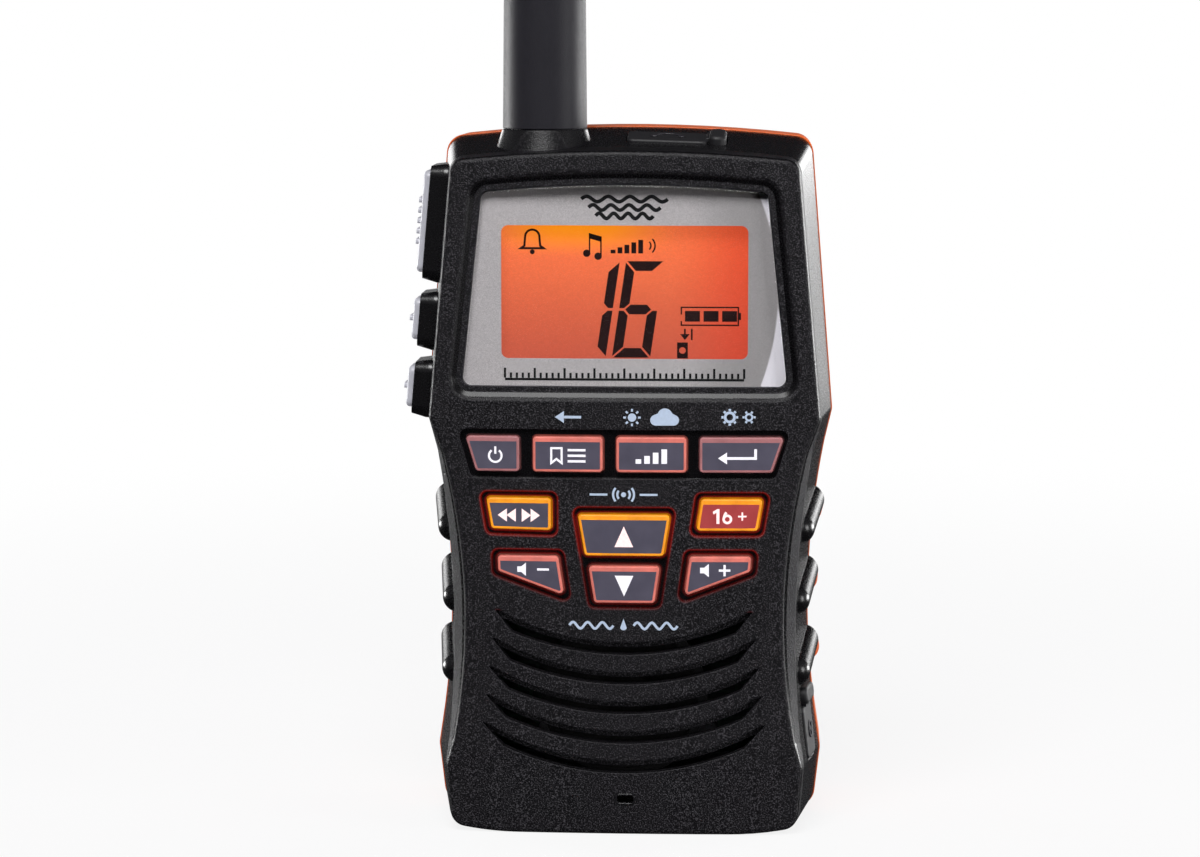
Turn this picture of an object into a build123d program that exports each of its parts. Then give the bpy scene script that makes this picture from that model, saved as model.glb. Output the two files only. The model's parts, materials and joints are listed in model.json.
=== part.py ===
from build123d import *

import os
from dataclasses import dataclass, replace
from math import hypot, radians, sqrt, tan

# Handheld floating VHF marine radio: two half shells, sealed keys and covers, a screw-on antenna,
# a battery bay and a belt clip.
#
# Millimetres. +Z up along the antenna, and the face looks along -Y. The origin is the centre of the flat
# foot, on the plane where the two shells meet.

# ---------------------------------------------------------------- the body
body_height = 118.6  # crest of the top, where the shells meet
face_drop = 3.3  # the top slopes down to the face by this much
face_depth = 20.5  # from the parting plane to the face's crest
mid_depth = 17.0  # from the parting plane to the bevel that frames the face
rear_depth = 21.0  # from the parting plane to the flat back
rear_knee = 13.0  # from the parting plane to where the rear shell closes in
rear_lip = 0.15  # the rear shell stands this far proud of the front one
rear_tuck = 1.6  # the back's outline is this much smaller than the rim
top_arch = 1.8  # rise of the top edge, seen from the front
crown_radius = 400.0  # of the upright cylinder that the face lies on
shoulder_height = 70.5
shoulder_drop = 5.5  # from the shoulder down to where the waist's scoop starts
waist_height = 36.0
scoop_bottom = 15.5
hip_drop = 4.0  # from where the scoop ends down to the hip
foot_rise = 1.2  # the foot's corners lift off the ground by this much
foot_flat_half = 18.0
face_edge_radius = 0.8
back_edge_radius = 2.2
wall = 2.4
face_inner = 17.8  # from the parting plane to the inside of the face wall
bonded_gap = 0.1  # between fixed pieces that are set side by side
running_gap = 0.05  # radial, round anything that turns or slides in a hole

# ---------------------------------------------------------------- grip ridges
ridge_count = 3
ridge_top_height = 54.5  # on the parting plane
ridge_pitch = 12.2
ridge_radius = 2.6
ridge_sink = 0.75  # the ridge's axis lies this far under the wall
ridge_reach = 12.0  # from the parting plane to the centre of each round end
ridge_fall = 3.2  # each half drops by this much towards its round end

# ---------------------------------------------------------------- window and display
lens_top_half, lens_bottom_half = 23.9, 27.3
lens_bottom, lens_corner_height, lens_top = 76.0, 108.5, 109.8
lens_radius = 1.4
lens_fit = 0.12
lens_back = 17.6  # from the parting plane
lens_proud = 0.2  # above the sunken rim round it
mask_thickness = 0.15
gasket_thickness, gasket_width = 0.3, 1.5
seat_depth, seat_rim = 15.8, 1.2
frame_margin = 0.95  # flat rim between the lens and the bevel round it
frame_depth, frame_bevel = 0.9, 1.45
view_half, view_bottom, view_top = 21.8, 79.4, 104.0
window_half, window_bottom, window_top, window_radius = 20.6, 80.6, 102.9, 1.2
lcd_half, lcd_bottom, lcd_top = 23.4, 77.9, 105.0
lcd_front, lcd_thickness = 15.4, 1.9
backlight_thickness = 2.4
lcd_frame_rim, lcd_frame_lip = 0.9, 0.4

# ---------------------------------------------------------------- keys
key_travel = 0.8
key_fit = 0.25
key_radius = 0.6
key_proud = 0.3
key_edge_radius = 0.25
recess_depth = 0.8
recess_radius = 1.3
recess_margin = 1.15
flange_front, flange_thickness, flange_rim = 17.6, 0.9, 0.5
stem_inset = 0.8
stem_gap = 0.1
mat_front, mat_thickness = 15.75, 1.0
mat_hole_inset = 0.45
mat_bottom, mat_top = 38.3, 70.0
peg_radius = 1.0
peg_points = [(0, 59.1), (18, 59.6), (-18, 59.6), (9.9, 52), (-9.9, 52), (15, 40.2), (-15, 40.2)]
key_board_front, key_board_thickness = 13.2, 1.2
key_board_half, key_board_bottom, key_board_top = 23.2, 38.4, 69.5
dome_radius, dome_height = 2.2, 0.35

row_top, row_bottom = 67.7, 61.8
key_corners = {  # X and Z of each key's corners on the face
    "key_power": [(-26.6, row_top), (-17.5, row_top), (-17.5, row_bottom), (-24.8, row_bottom)],
    "key_memory": [(-15.2, row_top), (-3.5, row_top), (-3.5, row_bottom), (-15.2, row_bottom)],
    "key_output": [(-1.2, row_top), (10.5, row_top), (10.5, row_bottom), (-1.2, row_bottom)],
    "key_enter": [(12.7, row_top), (26.8, row_top), (24.8, row_bottom), (12.7, row_bottom)],
    "key_scan": [(-23.1, 57.3), (-12.2, 57.3), (-12.2, 51.9), (-22.2, 52.1)],
    "key_priority": [(13.0, 57.3), (23.3, 57.3), (22.4, 52.0), (12.2, 52.0)],
    "key_up": [(-7.7, 54.6), (7.8, 54.6), (6.7, 47.7), (-6.5, 47.7)],
    "key_down": [(-5.9, 45.9), (6.1, 45.9), (5.2, 39.7), (-4.9, 39.7)],
    "key_volume_down": [(-21.2, 47.5), (-11.0, 47.5), (-10.0, 40.9), (-21.1, 44.9)],
    "key_volume_up": [(11.1, 47.6), (21.4, 47.6), (21.2, 45.1), (10.2, 40.9)],
}
own_recess = ["key_scan", "key_priority", "key_volume_down", "key_volume_up"]
row_recess = [(-28.0, 68.9), (27.9, 68.9), (25.4, 60.6), (-25.7, 60.6)]
channel_recess = [(-8.8, 55.9), (8.9, 55.9), (6.3, 38.6), (-5.9, 38.6)]

# ---------------------------------------------------------------- speaker and microphone
slot_count = 5
slot_width = 2.1
slot_open_share = 0.55  # of the slot's width that goes right through; the rest is a ledge
slot_depth = 1.0
slot_tip_half, slot_tip_growth = 21.7, 0.55
slot_tip_height, slot_tip_pitch = 38.2, 4.83
slot_tip_width = 0.7  # the slot's blunt end
slot_bend_half, slot_bend_growth = 18.8, 0.38
slot_bend_height, slot_bend_pitch = 34.4, 4.88
slot_low_height, slot_low_pitch = 30.8, 5.07
speaker_height, speaker_radius = 23.3, 14.0
speaker_front = 17.7
rim_thickness, rim_width = 1.0, 1.6
basket_depth, basket_back_radius, basket_sheet = 4.2, 8.4, 0.7
magnet_radius, magnet_thickness = 7.6, 3.0
cone_thickness, cone_depth, dome_cap_radius = 0.3, 2.6, 4.0
mic_x, mic_height = 0.3, 6.1
mic_hole_width, mic_hole_height, mic_hole_radius = 2.8, 1.3, 0.45
mic_radius, mic_thickness = 2.0, 1.5
mic_boot_wall, mic_boot_floor = 0.6, 0.5

# ---------------------------------------------------------------- side buttons, on the left wall
side_depth = 8.6  # from the parting plane to the buttons' middle line
boss_proud, boss_taper, boss_root, boss_rim = 2.4, 12.0, 1.2, 0.9
cap_proud = 1.2
side_travel = 1.0
side_fit = 0.15
side_lip = 1.3  # outer part of the boss, which keeps the flange in
side_flange_thickness, side_flange_rim = 0.8, 0.8
side_stem_inset = 1.2
side_buttons = {  # height of the middle, length along the wall, width along Y
    "ptt_button": (102.8, 17.2, 8.0),
    "upper_side_button": (86.3, 7.1, 7.0),
    "lower_side_button": (74.8, 7.0, 7.0),
}
side_rib_height, side_rib_width, side_rib_pitch = 0.6, 0.9, 1.75
side_ribs = {"ptt_button": 5, "upper_side_button": 1, "lower_side_button": 1}
side_board_depth, side_board_thickness = 6.9, 1.0  # under the wall's outside
side_board_width, side_board_end = 5.0, 3.6
switch_size, switch_height = 4.0, 1.9

# ---------------------------------------------------------------- antenna
antenna_x, antenna_y = -13.8, -10.0
collar_radius, collar_flare, collar_base = 7.15, 1.15, 115.2
antenna_gap = 0.2
antenna_length = 136.2
antenna_base_radius, antenna_tip_radius, antenna_tip_fillet = 7.1, 5.9, 4.0
stud_radius, stud_length = 3.1, 5.4  # the threaded stud above the collar
jack_bottom = 107.4
jack_flange_radius, jack_flange_thickness, jack_flange_top = 4.6, 1.6, 113.9
ferrule_wall, ferrule_height, ferrule_cap = 1.3, 7.0, 1.2
coil_outer, coil_wire = 3.0, 0.5
coil_top_margin = 14.0
seal_inner_radius, seal_outer_radius, seal_groove, seal_proud = 4.7, 5.9, 1.0, 0.15
thread_pitch = 0.7

# ---------------------------------------------------------------- jack covers
cover_depth, cover_proud, anchor_proud = 1.5, 0.4, 1.3
cover_fit = 0.25
cover_radius = 1.2
cover_hinge_gap = 0.15
hinge_bead = 0.35  # radius of the rolled edge that a flap turns on
accessory_x, accessory_y = 8.4, -9.3
accessory_flap, accessory_anchor, accessory_width = 13.6, 2.9, 7.2
charge_height, charge_y = 17.8, -8.8
charge_flap, charge_anchor, charge_width = 9.2, 3.0, 8.0
jack_radius, jack_wall, jack_length = 1.25, 1.3, 5.5
plug_radius, plug_length, plug_gap = 1.9, 1.0, 0.5

# ---------------------------------------------------------------- boards, chassis and screws
board_half, board_bottom, board_top = 24.0, 11.4, 104.6
board_front, board_thickness = 5.0, 1.6
can_height = 2.5
chassis_front, chassis_thickness = 2.7, 1.4
chassis_margin = 0.4
chassis_window_half, chassis_window_bottom, chassis_window_top = 15.0, 30.0, 52.0
boss_points = [(23.4, 108.9), (25.8, 58.6), (25.0, 8.1)]
boss_radius, pilot_radius = 2.1, 1.0
screw_radius, screw_head_radius, screw_head_height, screw_length = 0.95, 1.8, 1.3, 9.6
screw_hole_radius, well_radius, tube_wall = 1.2, 2.0, 1.1
screw_seat = 2.6  # from the parting plane back to the heads' seat
board_screw_points = [(19.5, 98.0), (13.5, 15.5)]
board_screw_hole, board_screw_head = 0.85, 1.0
can_places = [(-9, 56, 20, 22), (11, 57, 14, 14), (11, 82, 18, 18), (-12, 84, 16, 20)]  # X, Z and sizes
seal_inset, seal_width, seal_depth = 0.5, 1.1, 1.2

# ---------------------------------------------------------------- battery bay and door
cell_count = 4
cell_radius, cell_length, cell_nub_radius, cell_nub = 5.25, 44.5, 1.9, 1.0
cell_gap = 0.1
bay_front = 6.2
bay_half, bay_bottom, bay_top = 22.0, 13.0, 63.5
bay_wall = 1.7
tray_fit, tray_floor, tray_wall, tray_side, tray_depth = 0.15, 0.6, 1.0, 0.6, 10.0
contact_thickness = 0.3
spring_radius, spring_wire = 3.0, 0.5
door_half, door_bottom, door_top = 23.3, 11.4, 72.6
door_thickness, door_fit, door_radius = 2.4, 0.2, 3.0
door_seal_margin, door_seal_width, door_seal_depth = 0.3, 0.9, 0.9
back_wall = 2.4
upper_bay_bottom = 75.0
door_screw_x, door_screw_height = 17.0, 68.9
door_screw_head, door_screw_head_height = 3.0, 1.4
door_screw_shank, door_screw_length = 1.4, 7.0
door_boss_wall = 1.5
coin_slot_width, coin_slot_depth = 1.0, 0.8

# ---------------------------------------------------------------- belt clip and lanyard eye
clip_half, clip_bottom, clip_top, clip_thickness = 9.0, 75.5, 111.0, 2.0
clip_base_bottom, clip_base_top, clip_base_thickness = 91.0, 108.5, 2.0
clip_hinge_y, clip_hinge_height = 27.4, 101.0
clip_pin_radius, clip_knuckle_radius = 1.25, 2.6
clip_ear, clip_play = 1.8, 0.15
clip_hook, clip_hook_height = 5.6, 2.5
clip_spring_half, clip_wire = 3.0, 0.5
clip_arm_relief = 0.4
eye_x, eye_height, eye_bore, eye_wall, eye_thickness, eye_stand = 22.0, 100.0, 1.75, 1.6, 3.0, 1.9


# ---------------------------------------------------------------- sections, planes and outlines
scoop_top = shoulder_height - shoulder_drop
hip_height = scoop_bottom - hip_drop


@dataclass
class Section:
    """Outline of the body at one depth: its y, the top's crest, and half widths from the top down."""

    y: float
    top: float
    top_half: float
    shoulder_half: float
    scoop_top_half: float
    waist_half: float
    scoop_bottom_half: float
    hip_half: float
    foot_half: float
    corner_radius: float
    foot_radius: float


def resized(section, amount, y):
    """The section at another depth, larger at the sides and the top, its foot still on the ground."""
    names = ["top", "top_half", "shoulder_half", "scoop_top_half", "waist_half", "scoop_bottom_half"]
    names += ["hip_half", "foot_half"]
    return replace(section, y=y, **{name: getattr(section, name) + amount for name in names})


face_top = body_height - face_drop
mid_top = body_height - face_drop * mid_depth / face_depth
face_section = Section(-face_depth, face_top, 28.8, 32.6, 29.8, 25.75, 28.3, 30.0, 28.9, 2.4, 2.5)
mid_section = Section(-mid_depth, mid_top, 29.2, 33.0, 31.5, 28.8, 29.8, 30.4, 29.6, 2.9, 3.0)
rim_section = Section(0, body_height, 31.0, 34.7, 33.4, 30.7, 32.4, 33.0, 31.8, 3.2, 3.2)
rear_rim_section = resized(rim_section, rear_lip, 0)
knee_section = resized(rim_section, 0, rear_knee)
back_section = resized(rim_section, -rear_tuck, rear_depth)


def facing(depth):
    """Plane parallel to the face, so far in front of the parting plane; it extrudes forwards."""
    return Plane.XZ.offset(depth)


def corner_points(section):
    """The outline's corners on the right, from the top down, as X and Z."""
    return [
        (section.top_half, section.top - top_arch),
        (section.shoulder_half, shoulder_height),
        (section.scoop_top_half, scoop_top),
        (section.scoop_bottom_half, scoop_bottom),
        (section.hip_half, hip_height),
        (section.foot_half, foot_rise),
    ]


def body_outline(section):
    """Draws a body section in the current sketch."""
    right = corner_points(section)
    left = [(-x, z) for x, z in right]
    with BuildLine() as outline:
        ThreePointArc(left[0], (0, section.top), right[0])
        Line((-foot_flat_half, 0), (foot_flat_half, 0))
        for side, way in ((right, 1), (left, -1)):
            Polyline(side[:3])
            ThreePointArc(side[2], (way * section.waist_half, waist_height), side[3])
            Polyline(side[3:])
            TangentArc((way * foot_flat_half, 0), side[5], tangent=(way, 0))
    make_face(outline.edges())
    radii = [section.corner_radius, 2.0, 4.0, 4.0, 3.0, section.foot_radius]
    for (_, height), radius in zip(right, radii):
        fillet([v for v in vertices() if abs(v.Y - height) < 0.001], radius)


def cavity_outline(inset=0.0):
    """Draws the inside of the shells' walls in the current sketch, smaller all round by the inset."""
    body_outline(mid_section)
    offset(amount=-(wall + inset), kind=Kind.INTERSECTION)


def add_rounded(edges, radius, grow=0.0, mode=Mode.ADD):
    """Adds a closed outline's face to the current sketch, grown all round, its corners rounded."""
    flat = make_face(edges, mode=Mode.PRIVATE).face()
    if grow:
        flat = offset(flat, amount=grow, kind=Kind.INTERSECTION, mode=Mode.PRIVATE).face()
    add(flat.fillet_2d(radius, flat.vertices()), mode=mode)


def polygon(points, radius, grow=0.0, mode=Mode.ADD):
    """Draws a rounded polygon in the current sketch."""
    with BuildLine() as outline:
        Polyline(points, close=True)
    add_rounded(outline.edges(), radius, grow, mode)


def lens_outline(grow=0.0, mode=Mode.ADD):
    """Draws the window's outline in the current sketch."""
    top = [(-lens_top_half, lens_corner_height), (0, lens_top), (lens_top_half, lens_corner_height)]
    bottom = [(lens_bottom_half, lens_bottom), (-lens_bottom_half, lens_bottom)]
    with BuildLine() as outline:
        ThreePointArc(*top)
        Polyline(top[2], *bottom, top[0])
    add_rounded(outline.edges(), lens_radius + max(grow, 0), grow, mode)


def window_outline(half, bottom, top, radius=window_radius, mode=Mode.ADD):
    """Draws an upright rectangle about the middle line in the current sketch."""
    with Locations((0, (bottom + top) / 2)):
        RectangleRounded(2 * half, top - bottom, radius, mode=mode)


def slot_outline(index, share=1.0):
    """Draws one curved speaker slot, or the lower share of its width, in the current sketch."""
    bend_x = slot_bend_half + slot_bend_growth * index
    bend_z = slot_bend_height - slot_bend_pitch * index
    tip_x = bend_x + share * (slot_tip_half + slot_tip_growth * index - bend_x)
    tip_z = bend_z + share * (slot_tip_height - slot_tip_pitch * index - bend_z)
    low = slot_low_height - slot_low_pitch * index
    inner_x = tip_x - share * slot_tip_width
    with BuildLine() as outline:
        ThreePointArc((-inner_x, tip_z), (0, low + share * slot_width), (inner_x, tip_z))
        Polyline((inner_x, tip_z), (tip_x, tip_z), (bend_x, bend_z))
        ThreePointArc((bend_x, bend_z), (0, low), (-bend_x, bend_z))
        Polyline((-bend_x, bend_z), (-tip_x, tip_z), (-inner_x, tip_z))
    make_face(outline.edges())


def crown(depth, mode):
    """The upright cylinder under the face, so far below its crown: keeps or removes what it holds."""
    with Locations((0, crown_radius - face_depth, body_height / 2)):
        Cylinder(crown_radius - depth, 2 * body_height, mode=mode)


def side_half(section, height):
    """Half width of a section at a height, corner fillets apart."""
    corners = corner_points(section)
    if scoop_bottom <= height <= scoop_top:
        (x1, z1), (x2, z2), (x3, z3) = corners[2], (section.waist_half, waist_height), corners[3]
        spread = 2 * (x1 * (z2 - z3) + x2 * (z3 - z1) + x3 * (z1 - z2))
        s1, s2, s3 = x1**2 + z1**2, x2**2 + z2**2, x3**2 + z3**2
        centre_x = (s1 * (z2 - z3) + s2 * (z3 - z1) + s3 * (z1 - z2)) / spread
        centre_z = (s1 * (x3 - x2) + s2 * (x1 - x3) + s3 * (x2 - x1)) / spread
        radius = hypot(x2 - centre_x, z2 - centre_z)
        return centre_x - sqrt(radius**2 - (height - centre_z) ** 2)
    spans = zip(corners, corners[1:])
    (x1, z1), (x2, z2) = next(span for span in spans if span[1][1] <= height <= span[0][1])
    return x1 + (x2 - x1) * (z1 - height) / (z1 - z2)


def front_half(height, y):
    """Half width of the front shell's side wall at a height and a depth."""
    share = -y / mid_depth
    return side_half(rim_section, height) * (1 - share) + side_half(mid_section, height) * share


def top_surface(x, y):
    """Height of the front shell's top over a point."""
    arch = (rim_section.top_half**2 + top_arch**2) / (2 * top_arch)
    return body_height + face_drop * y / face_depth - (arch - sqrt(arch**2 - x**2))


def grip_ridges(y_end):
    """Half-round bars down both walls, from the parting plane to a round end, inside the shell's half."""
    outward = 1 if y_end > 0 else -1
    for index in range(ridge_count):
        height = ridge_top_height - ridge_pitch * index
        low = height - ridge_fall
        start = Vector(side_half(rim_section, height) - ridge_sink, 0, height)
        end = Vector(front_half(low, min(y_end, 0)) - ridge_sink, y_end, low)
        for way in (-1, 1):
            run = Vector(way * (end.X - start.X), end.Y - start.Y, end.Z - start.Z)
            tip = Vector(way * end.X, end.Y, low)
            with Locations(Plane(origin=tip, z_dir=-run)):
                Cylinder(
                    ridge_radius,
                    run.length + ridge_radius,
                    align=(Align.CENTER, Align.CENTER, Align.MIN),
                )
                Sphere(ridge_radius)
    split(bisect_by=Plane.XZ, keep=Keep.BOTTOM if outward > 0 else Keep.TOP)


def both_sides(points):
    """The same points on the right and the left."""
    return [(way * x, z) for x, z in points for way in (-1, 1)]


def discs(points, radius, depth, length, mode=Mode.ADD):
    """Round bars at X and Z points, from a depth forwards by a length."""
    with BuildSketch(facing(depth)) as ends:
        with Locations(*points):
            Circle(radius)
    extrude(ends.sketch, amount=length, mode=mode)


def slab(outline_half, bottom, top, depth, thickness, radius=window_radius, mode=Mode.ADD):
    """Upright rounded plate about the middle line, from its front at a depth backwards."""
    with BuildSketch(facing(depth)) as front:
        window_outline(outline_half, bottom, top, radius)
    extrude(front.sketch, amount=-thickness, mode=mode)


side_reference = side_buttons["ptt_button"][0]
side_foot = side_buttons["lower_side_button"][0] - side_buttons["lower_side_button"][1] / 2
side_lean = (side_half(mid_section, side_foot) - side_half(mid_section, side_reference)) / (
    side_reference - side_foot
)
side_plane = Plane(
    origin=(-front_half(side_reference, -side_depth), -side_depth, side_reference),
    x_dir=(0, -1, 0),
    z_dir=(-1, 0, side_lean),
)


def along_side(height):
    """Place of a height along the side plane's upward direction."""
    return (height - side_reference) * hypot(1, side_lean)


def side_block(height, length, width, low, high, radius=1.2, taper=0.0, mode=Mode.ADD):
    """Rounded block on the left wall, between two heights above the wall's outside."""
    with BuildSketch(side_plane.offset(low)) as foot:
        with Locations((0, along_side(height))):
            RectangleRounded(width, length, radius)
    extrude(foot.sketch, amount=high - low, taper=taper, mode=mode)


arch_lean = accessory_x * 2 * top_arch / rim_section.top_half**2
accessory_plane = Plane(
    origin=(accessory_x, accessory_y, top_surface(accessory_x, accessory_y)),
    x_dir=(1, 0, -arch_lean),
    z_dir=Vector(1, 0, -arch_lean).cross(Vector(0, 1, face_drop / face_depth)),
)
charge_span = (charge_flap + charge_anchor) / 2
charge_up = Vector(
    front_half(charge_height + charge_span, charge_y) - front_half(charge_height - charge_span, charge_y),
    0,
    2 * charge_span,
)
charge_across = Vector(
    front_half(charge_height, charge_y + charge_width / 2)
    - front_half(charge_height, charge_y - charge_width / 2),
    charge_width,
    0,
)
charge_plane = Plane(
    origin=(front_half(charge_height, charge_y), charge_y, charge_height),
    x_dir=charge_up,
    z_dir=charge_across.cross(charge_up),
)


@dataclass
class Cover:
    """A rubber jack cover: its plane, with local X from the flap to its anchor, and its three sizes."""

    plane: Plane
    flap: float
    anchor: float
    width: float

    def length(self):
        return self.flap + cover_hinge_gap + self.anchor

    def flap_middle(self):
        return -(self.anchor + cover_hinge_gap) / 2

    def anchor_middle(self):
        return (self.flap + cover_hinge_gap) / 2

    def hinge_x(self):
        return self.flap_middle() + self.flap / 2


covers = {
    "accessory": Cover(accessory_plane, accessory_flap, accessory_anchor, accessory_width),
    "charge": Cover(charge_plane, charge_flap, charge_anchor, charge_width),
}
antenna_axis = Axis((antenna_x, antenna_y, 0), (0, 0, 1))
antenna_plane = Plane(origin=(antenna_x, antenna_y, 0), x_dir=(1, 0, 0), z_dir=(0, -1, 0))
speaker_plane = Plane(origin=(0, 0, speaker_height), x_dir=(1, 0, 0), z_dir=(0, 0, 1))
speaker_axis = Axis((0, 0, speaker_height), (0, 1, 0))


def turned(points, plane, axis, mode=Mode.ADD):
    """Ring or rod with a straight-edged profile, turned about an axis."""
    with BuildSketch(plane) as profile:
        with BuildLine():
            Polyline(points, close=True)
        make_face()
    revolve(profile.sketch, axis=axis, mode=mode)


def antenna_rod(radius, bottom, top, mode=Mode.ADD):
    """Upright cylinder about the antenna's axis."""
    with BuildSketch(Plane.XY.offset(bottom)) as foot:
        with Locations((antenna_x, antenna_y)):
            Circle(radius)
    extrude(foot.sketch, amount=top - bottom, mode=mode)


door_inner = rear_depth - door_thickness
stem_end = key_board_front + dome_height + key_travel + stem_gap
jack_start = plug_length + plug_gap
stem_foot = switch_height + side_travel + stem_gap - side_board_depth
door_screw_points = [(door_screw_x, door_screw_height), (-door_screw_x, door_screw_height)]


def seal_profile(gap, height):
    """Section of the ring seal in the collar's top, clear of its groove by the gap."""
    foot = body_height - seal_groove
    inner, outer = seal_inner_radius + gap, seal_outer_radius - gap
    return [(inner, foot), (outer, foot), (outer, foot + height), (inner, foot + height)]


def jack_bar(cover, radius, start, length, mode=Mode.ADD):
    """Cylinder in line with a cover's jack, from so far under its pocket's floor, inwards."""
    with BuildSketch(cover.plane.offset(-cover_depth - start)) as mouth:
        with Locations((cover.flap_middle(), 0)):
            Circle(radius)
    extrude(mouth.sketch, amount=-length, mode=mode)


def hinge_bar(cover, radius, mode=Mode.ADD):
    """Bar along a cover's hinge, level with the flap's top."""
    middle = cover.plane.from_local_coords(Vector(cover.hinge_x(), 0, cover_proud))
    with Locations(Plane(origin=middle, z_dir=cover.plane.y_dir)):
        Cylinder(radius, cover.width - 2 * cover_radius, mode=mode)


with BuildPart() as housing_seal:
    with BuildSketch(facing(0)):
        cavity_outline(-seal_inset - seal_width)
    extrude(amount=seal_depth)
    with BuildSketch(facing(0)):
        cavity_outline(-seal_inset)
    extrude(amount=seal_depth, mode=Mode.SUBTRACT)

with BuildPart() as door_seal:
    for grow, mode in ((door_seal_margin + door_seal_width, Mode.ADD), (door_seal_margin, Mode.SUBTRACT)):
        slab(
            bay_half + grow,
            bay_bottom - grow,
            bay_top + grow,
            door_seal_depth - door_inner,
            door_seal_depth,
            window_radius,
            mode,
        )

# ---------------------------------------------------------------- cutters that follow the face's crown
with BuildPart() as key_recesses:
    with BuildSketch(facing(face_inner)):
        polygon(row_recess, recess_radius)
        polygon(channel_recess, recess_radius)
        for name in own_recess:
            polygon(key_corners[name], recess_radius, recess_margin)
    extrude(amount=face_depth)
    crown(recess_depth, Mode.SUBTRACT)

with BuildPart() as slot_ledges:
    with BuildSketch(facing(face_inner)):
        for index in range(slot_count):
            slot_outline(index)
    extrude(amount=face_depth)
    crown(slot_depth, Mode.SUBTRACT)

with BuildPart() as window_frame:
    with BuildSketch(facing(face_inner)):
        lens_outline(frame_margin + frame_bevel)
    extrude(amount=face_depth)
    crown(frame_depth, Mode.SUBTRACT)
    floor = faces().sort_by(Axis.Y)[-1]
    chamfer(floor.edges(), frame_bevel, frame_depth, reference=floor)


# ---------------------------------------------------------------- front shell
with BuildPart() as front_housing:
    for section in (face_section, mid_section, rim_section):
        with BuildSketch(facing(-section.y)):
            body_outline(section)
    loft(ruled=True)
    crown(0, Mode.INTERSECT)
    fillet(faces().sort_by(Axis.Y)[0].edges(), face_edge_radius)
    grip_ridges(-ridge_reach)

    with BuildSketch(antenna_plane):
        with BuildLine():
            Line((0, collar_base - boss_root), (collar_radius + collar_flare, collar_base - boss_root))
            Line(
                (collar_radius + collar_flare, collar_base - boss_root),
                (collar_radius + collar_flare, collar_base),
            )
            Line((collar_radius + collar_flare, collar_base), (collar_radius, body_height))
            Polyline((collar_radius, body_height), (0, body_height), (0, collar_base - boss_root))
        make_face()
    revolve(axis=antenna_axis)

    for height, length, width in side_buttons.values():
        foot_grow = 2 * boss_proud * tan(radians(boss_taper))
        boss_length = length + 2 * boss_rim + foot_grow
        boss_width = width + 2 * (side_flange_rim + boss_rim) + foot_grow
        side_block(height, boss_length, boss_width, -boss_root, 0, radius=2.0)
        side_block(height, boss_length, boss_width, 0, boss_proud, radius=2.0, taper=boss_taper)

    with BuildSketch(facing(0)):
        cavity_outline()
    extrude(amount=face_inner, mode=Mode.SUBTRACT)

    with BuildSketch(facing(seat_depth)):
        lens_outline(seat_rim)
    extrude(amount=face_inner - seat_depth)
    discs(both_sides(boss_points), boss_radius, chassis_front, face_inner - chassis_front)
    discs(both_sides(boss_points), pilot_radius, chassis_front, screw_length, mode=Mode.SUBTRACT)

    add(window_frame.part, mode=Mode.SUBTRACT)
    with BuildSketch(facing(lens_back - mask_thickness - gasket_thickness)):
        lens_outline()
    extrude(amount=face_depth, mode=Mode.SUBTRACT)
    with BuildSketch(facing(seat_depth)):
        window_outline(view_half, view_bottom, view_top)
    extrude(amount=face_depth, mode=Mode.SUBTRACT)

    add(key_recesses.part, mode=Mode.SUBTRACT)
    with BuildSketch(facing(seat_depth)):
        for corners in key_corners.values():
            polygon(corners, key_radius + key_fit, key_fit)
    extrude(amount=face_depth, mode=Mode.SUBTRACT)

    add(slot_ledges.part, mode=Mode.SUBTRACT)
    with BuildSketch(facing(seat_depth)):
        for index in range(slot_count):
            slot_outline(index, slot_open_share)
        with Locations((mic_x, mic_height)):
            RectangleRounded(mic_hole_width, mic_hole_height, mic_hole_radius)
    extrude(amount=face_depth, mode=Mode.SUBTRACT)

    add(housing_seal.part, mode=Mode.SUBTRACT)
    antenna_rod(jack_flange_radius + bonded_gap, jack_flange_top - 2 * wall, jack_flange_top, Mode.SUBTRACT)
    antenna_rod(stud_radius + running_gap, jack_flange_top - wall, body_height + wall, Mode.SUBTRACT)
    turned(seal_profile(0, seal_groove), antenna_plane, antenna_axis, Mode.SUBTRACT)

    for cover in covers.values():
        with BuildSketch(cover.plane.offset(-cover_depth)):
            RectangleRounded(
                cover.length() + 2 * cover_fit, cover.width + 2 * cover_fit, cover_radius + cover_fit
            )
        extrude(amount=2 * cover_depth, mode=Mode.SUBTRACT)
        jack_bar(cover, jack_radius + jack_wall + running_gap, 0, jack_start + jack_length, Mode.SUBTRACT)

    for height, length, width in side_buttons.values():
        pocket_width = width + 2 * (side_flange_rim + side_fit)
        open_length = length + 2 * side_fit
        lip_foot = boss_proud - side_lip
        side_block(height, open_length, pocket_width, -2 * wall, lip_foot, radius=0.8, mode=Mode.SUBTRACT)
        side_block(height, open_length, width + 2 * side_fit, 0, 2 * boss_proud, mode=Mode.SUBTRACT)

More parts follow.
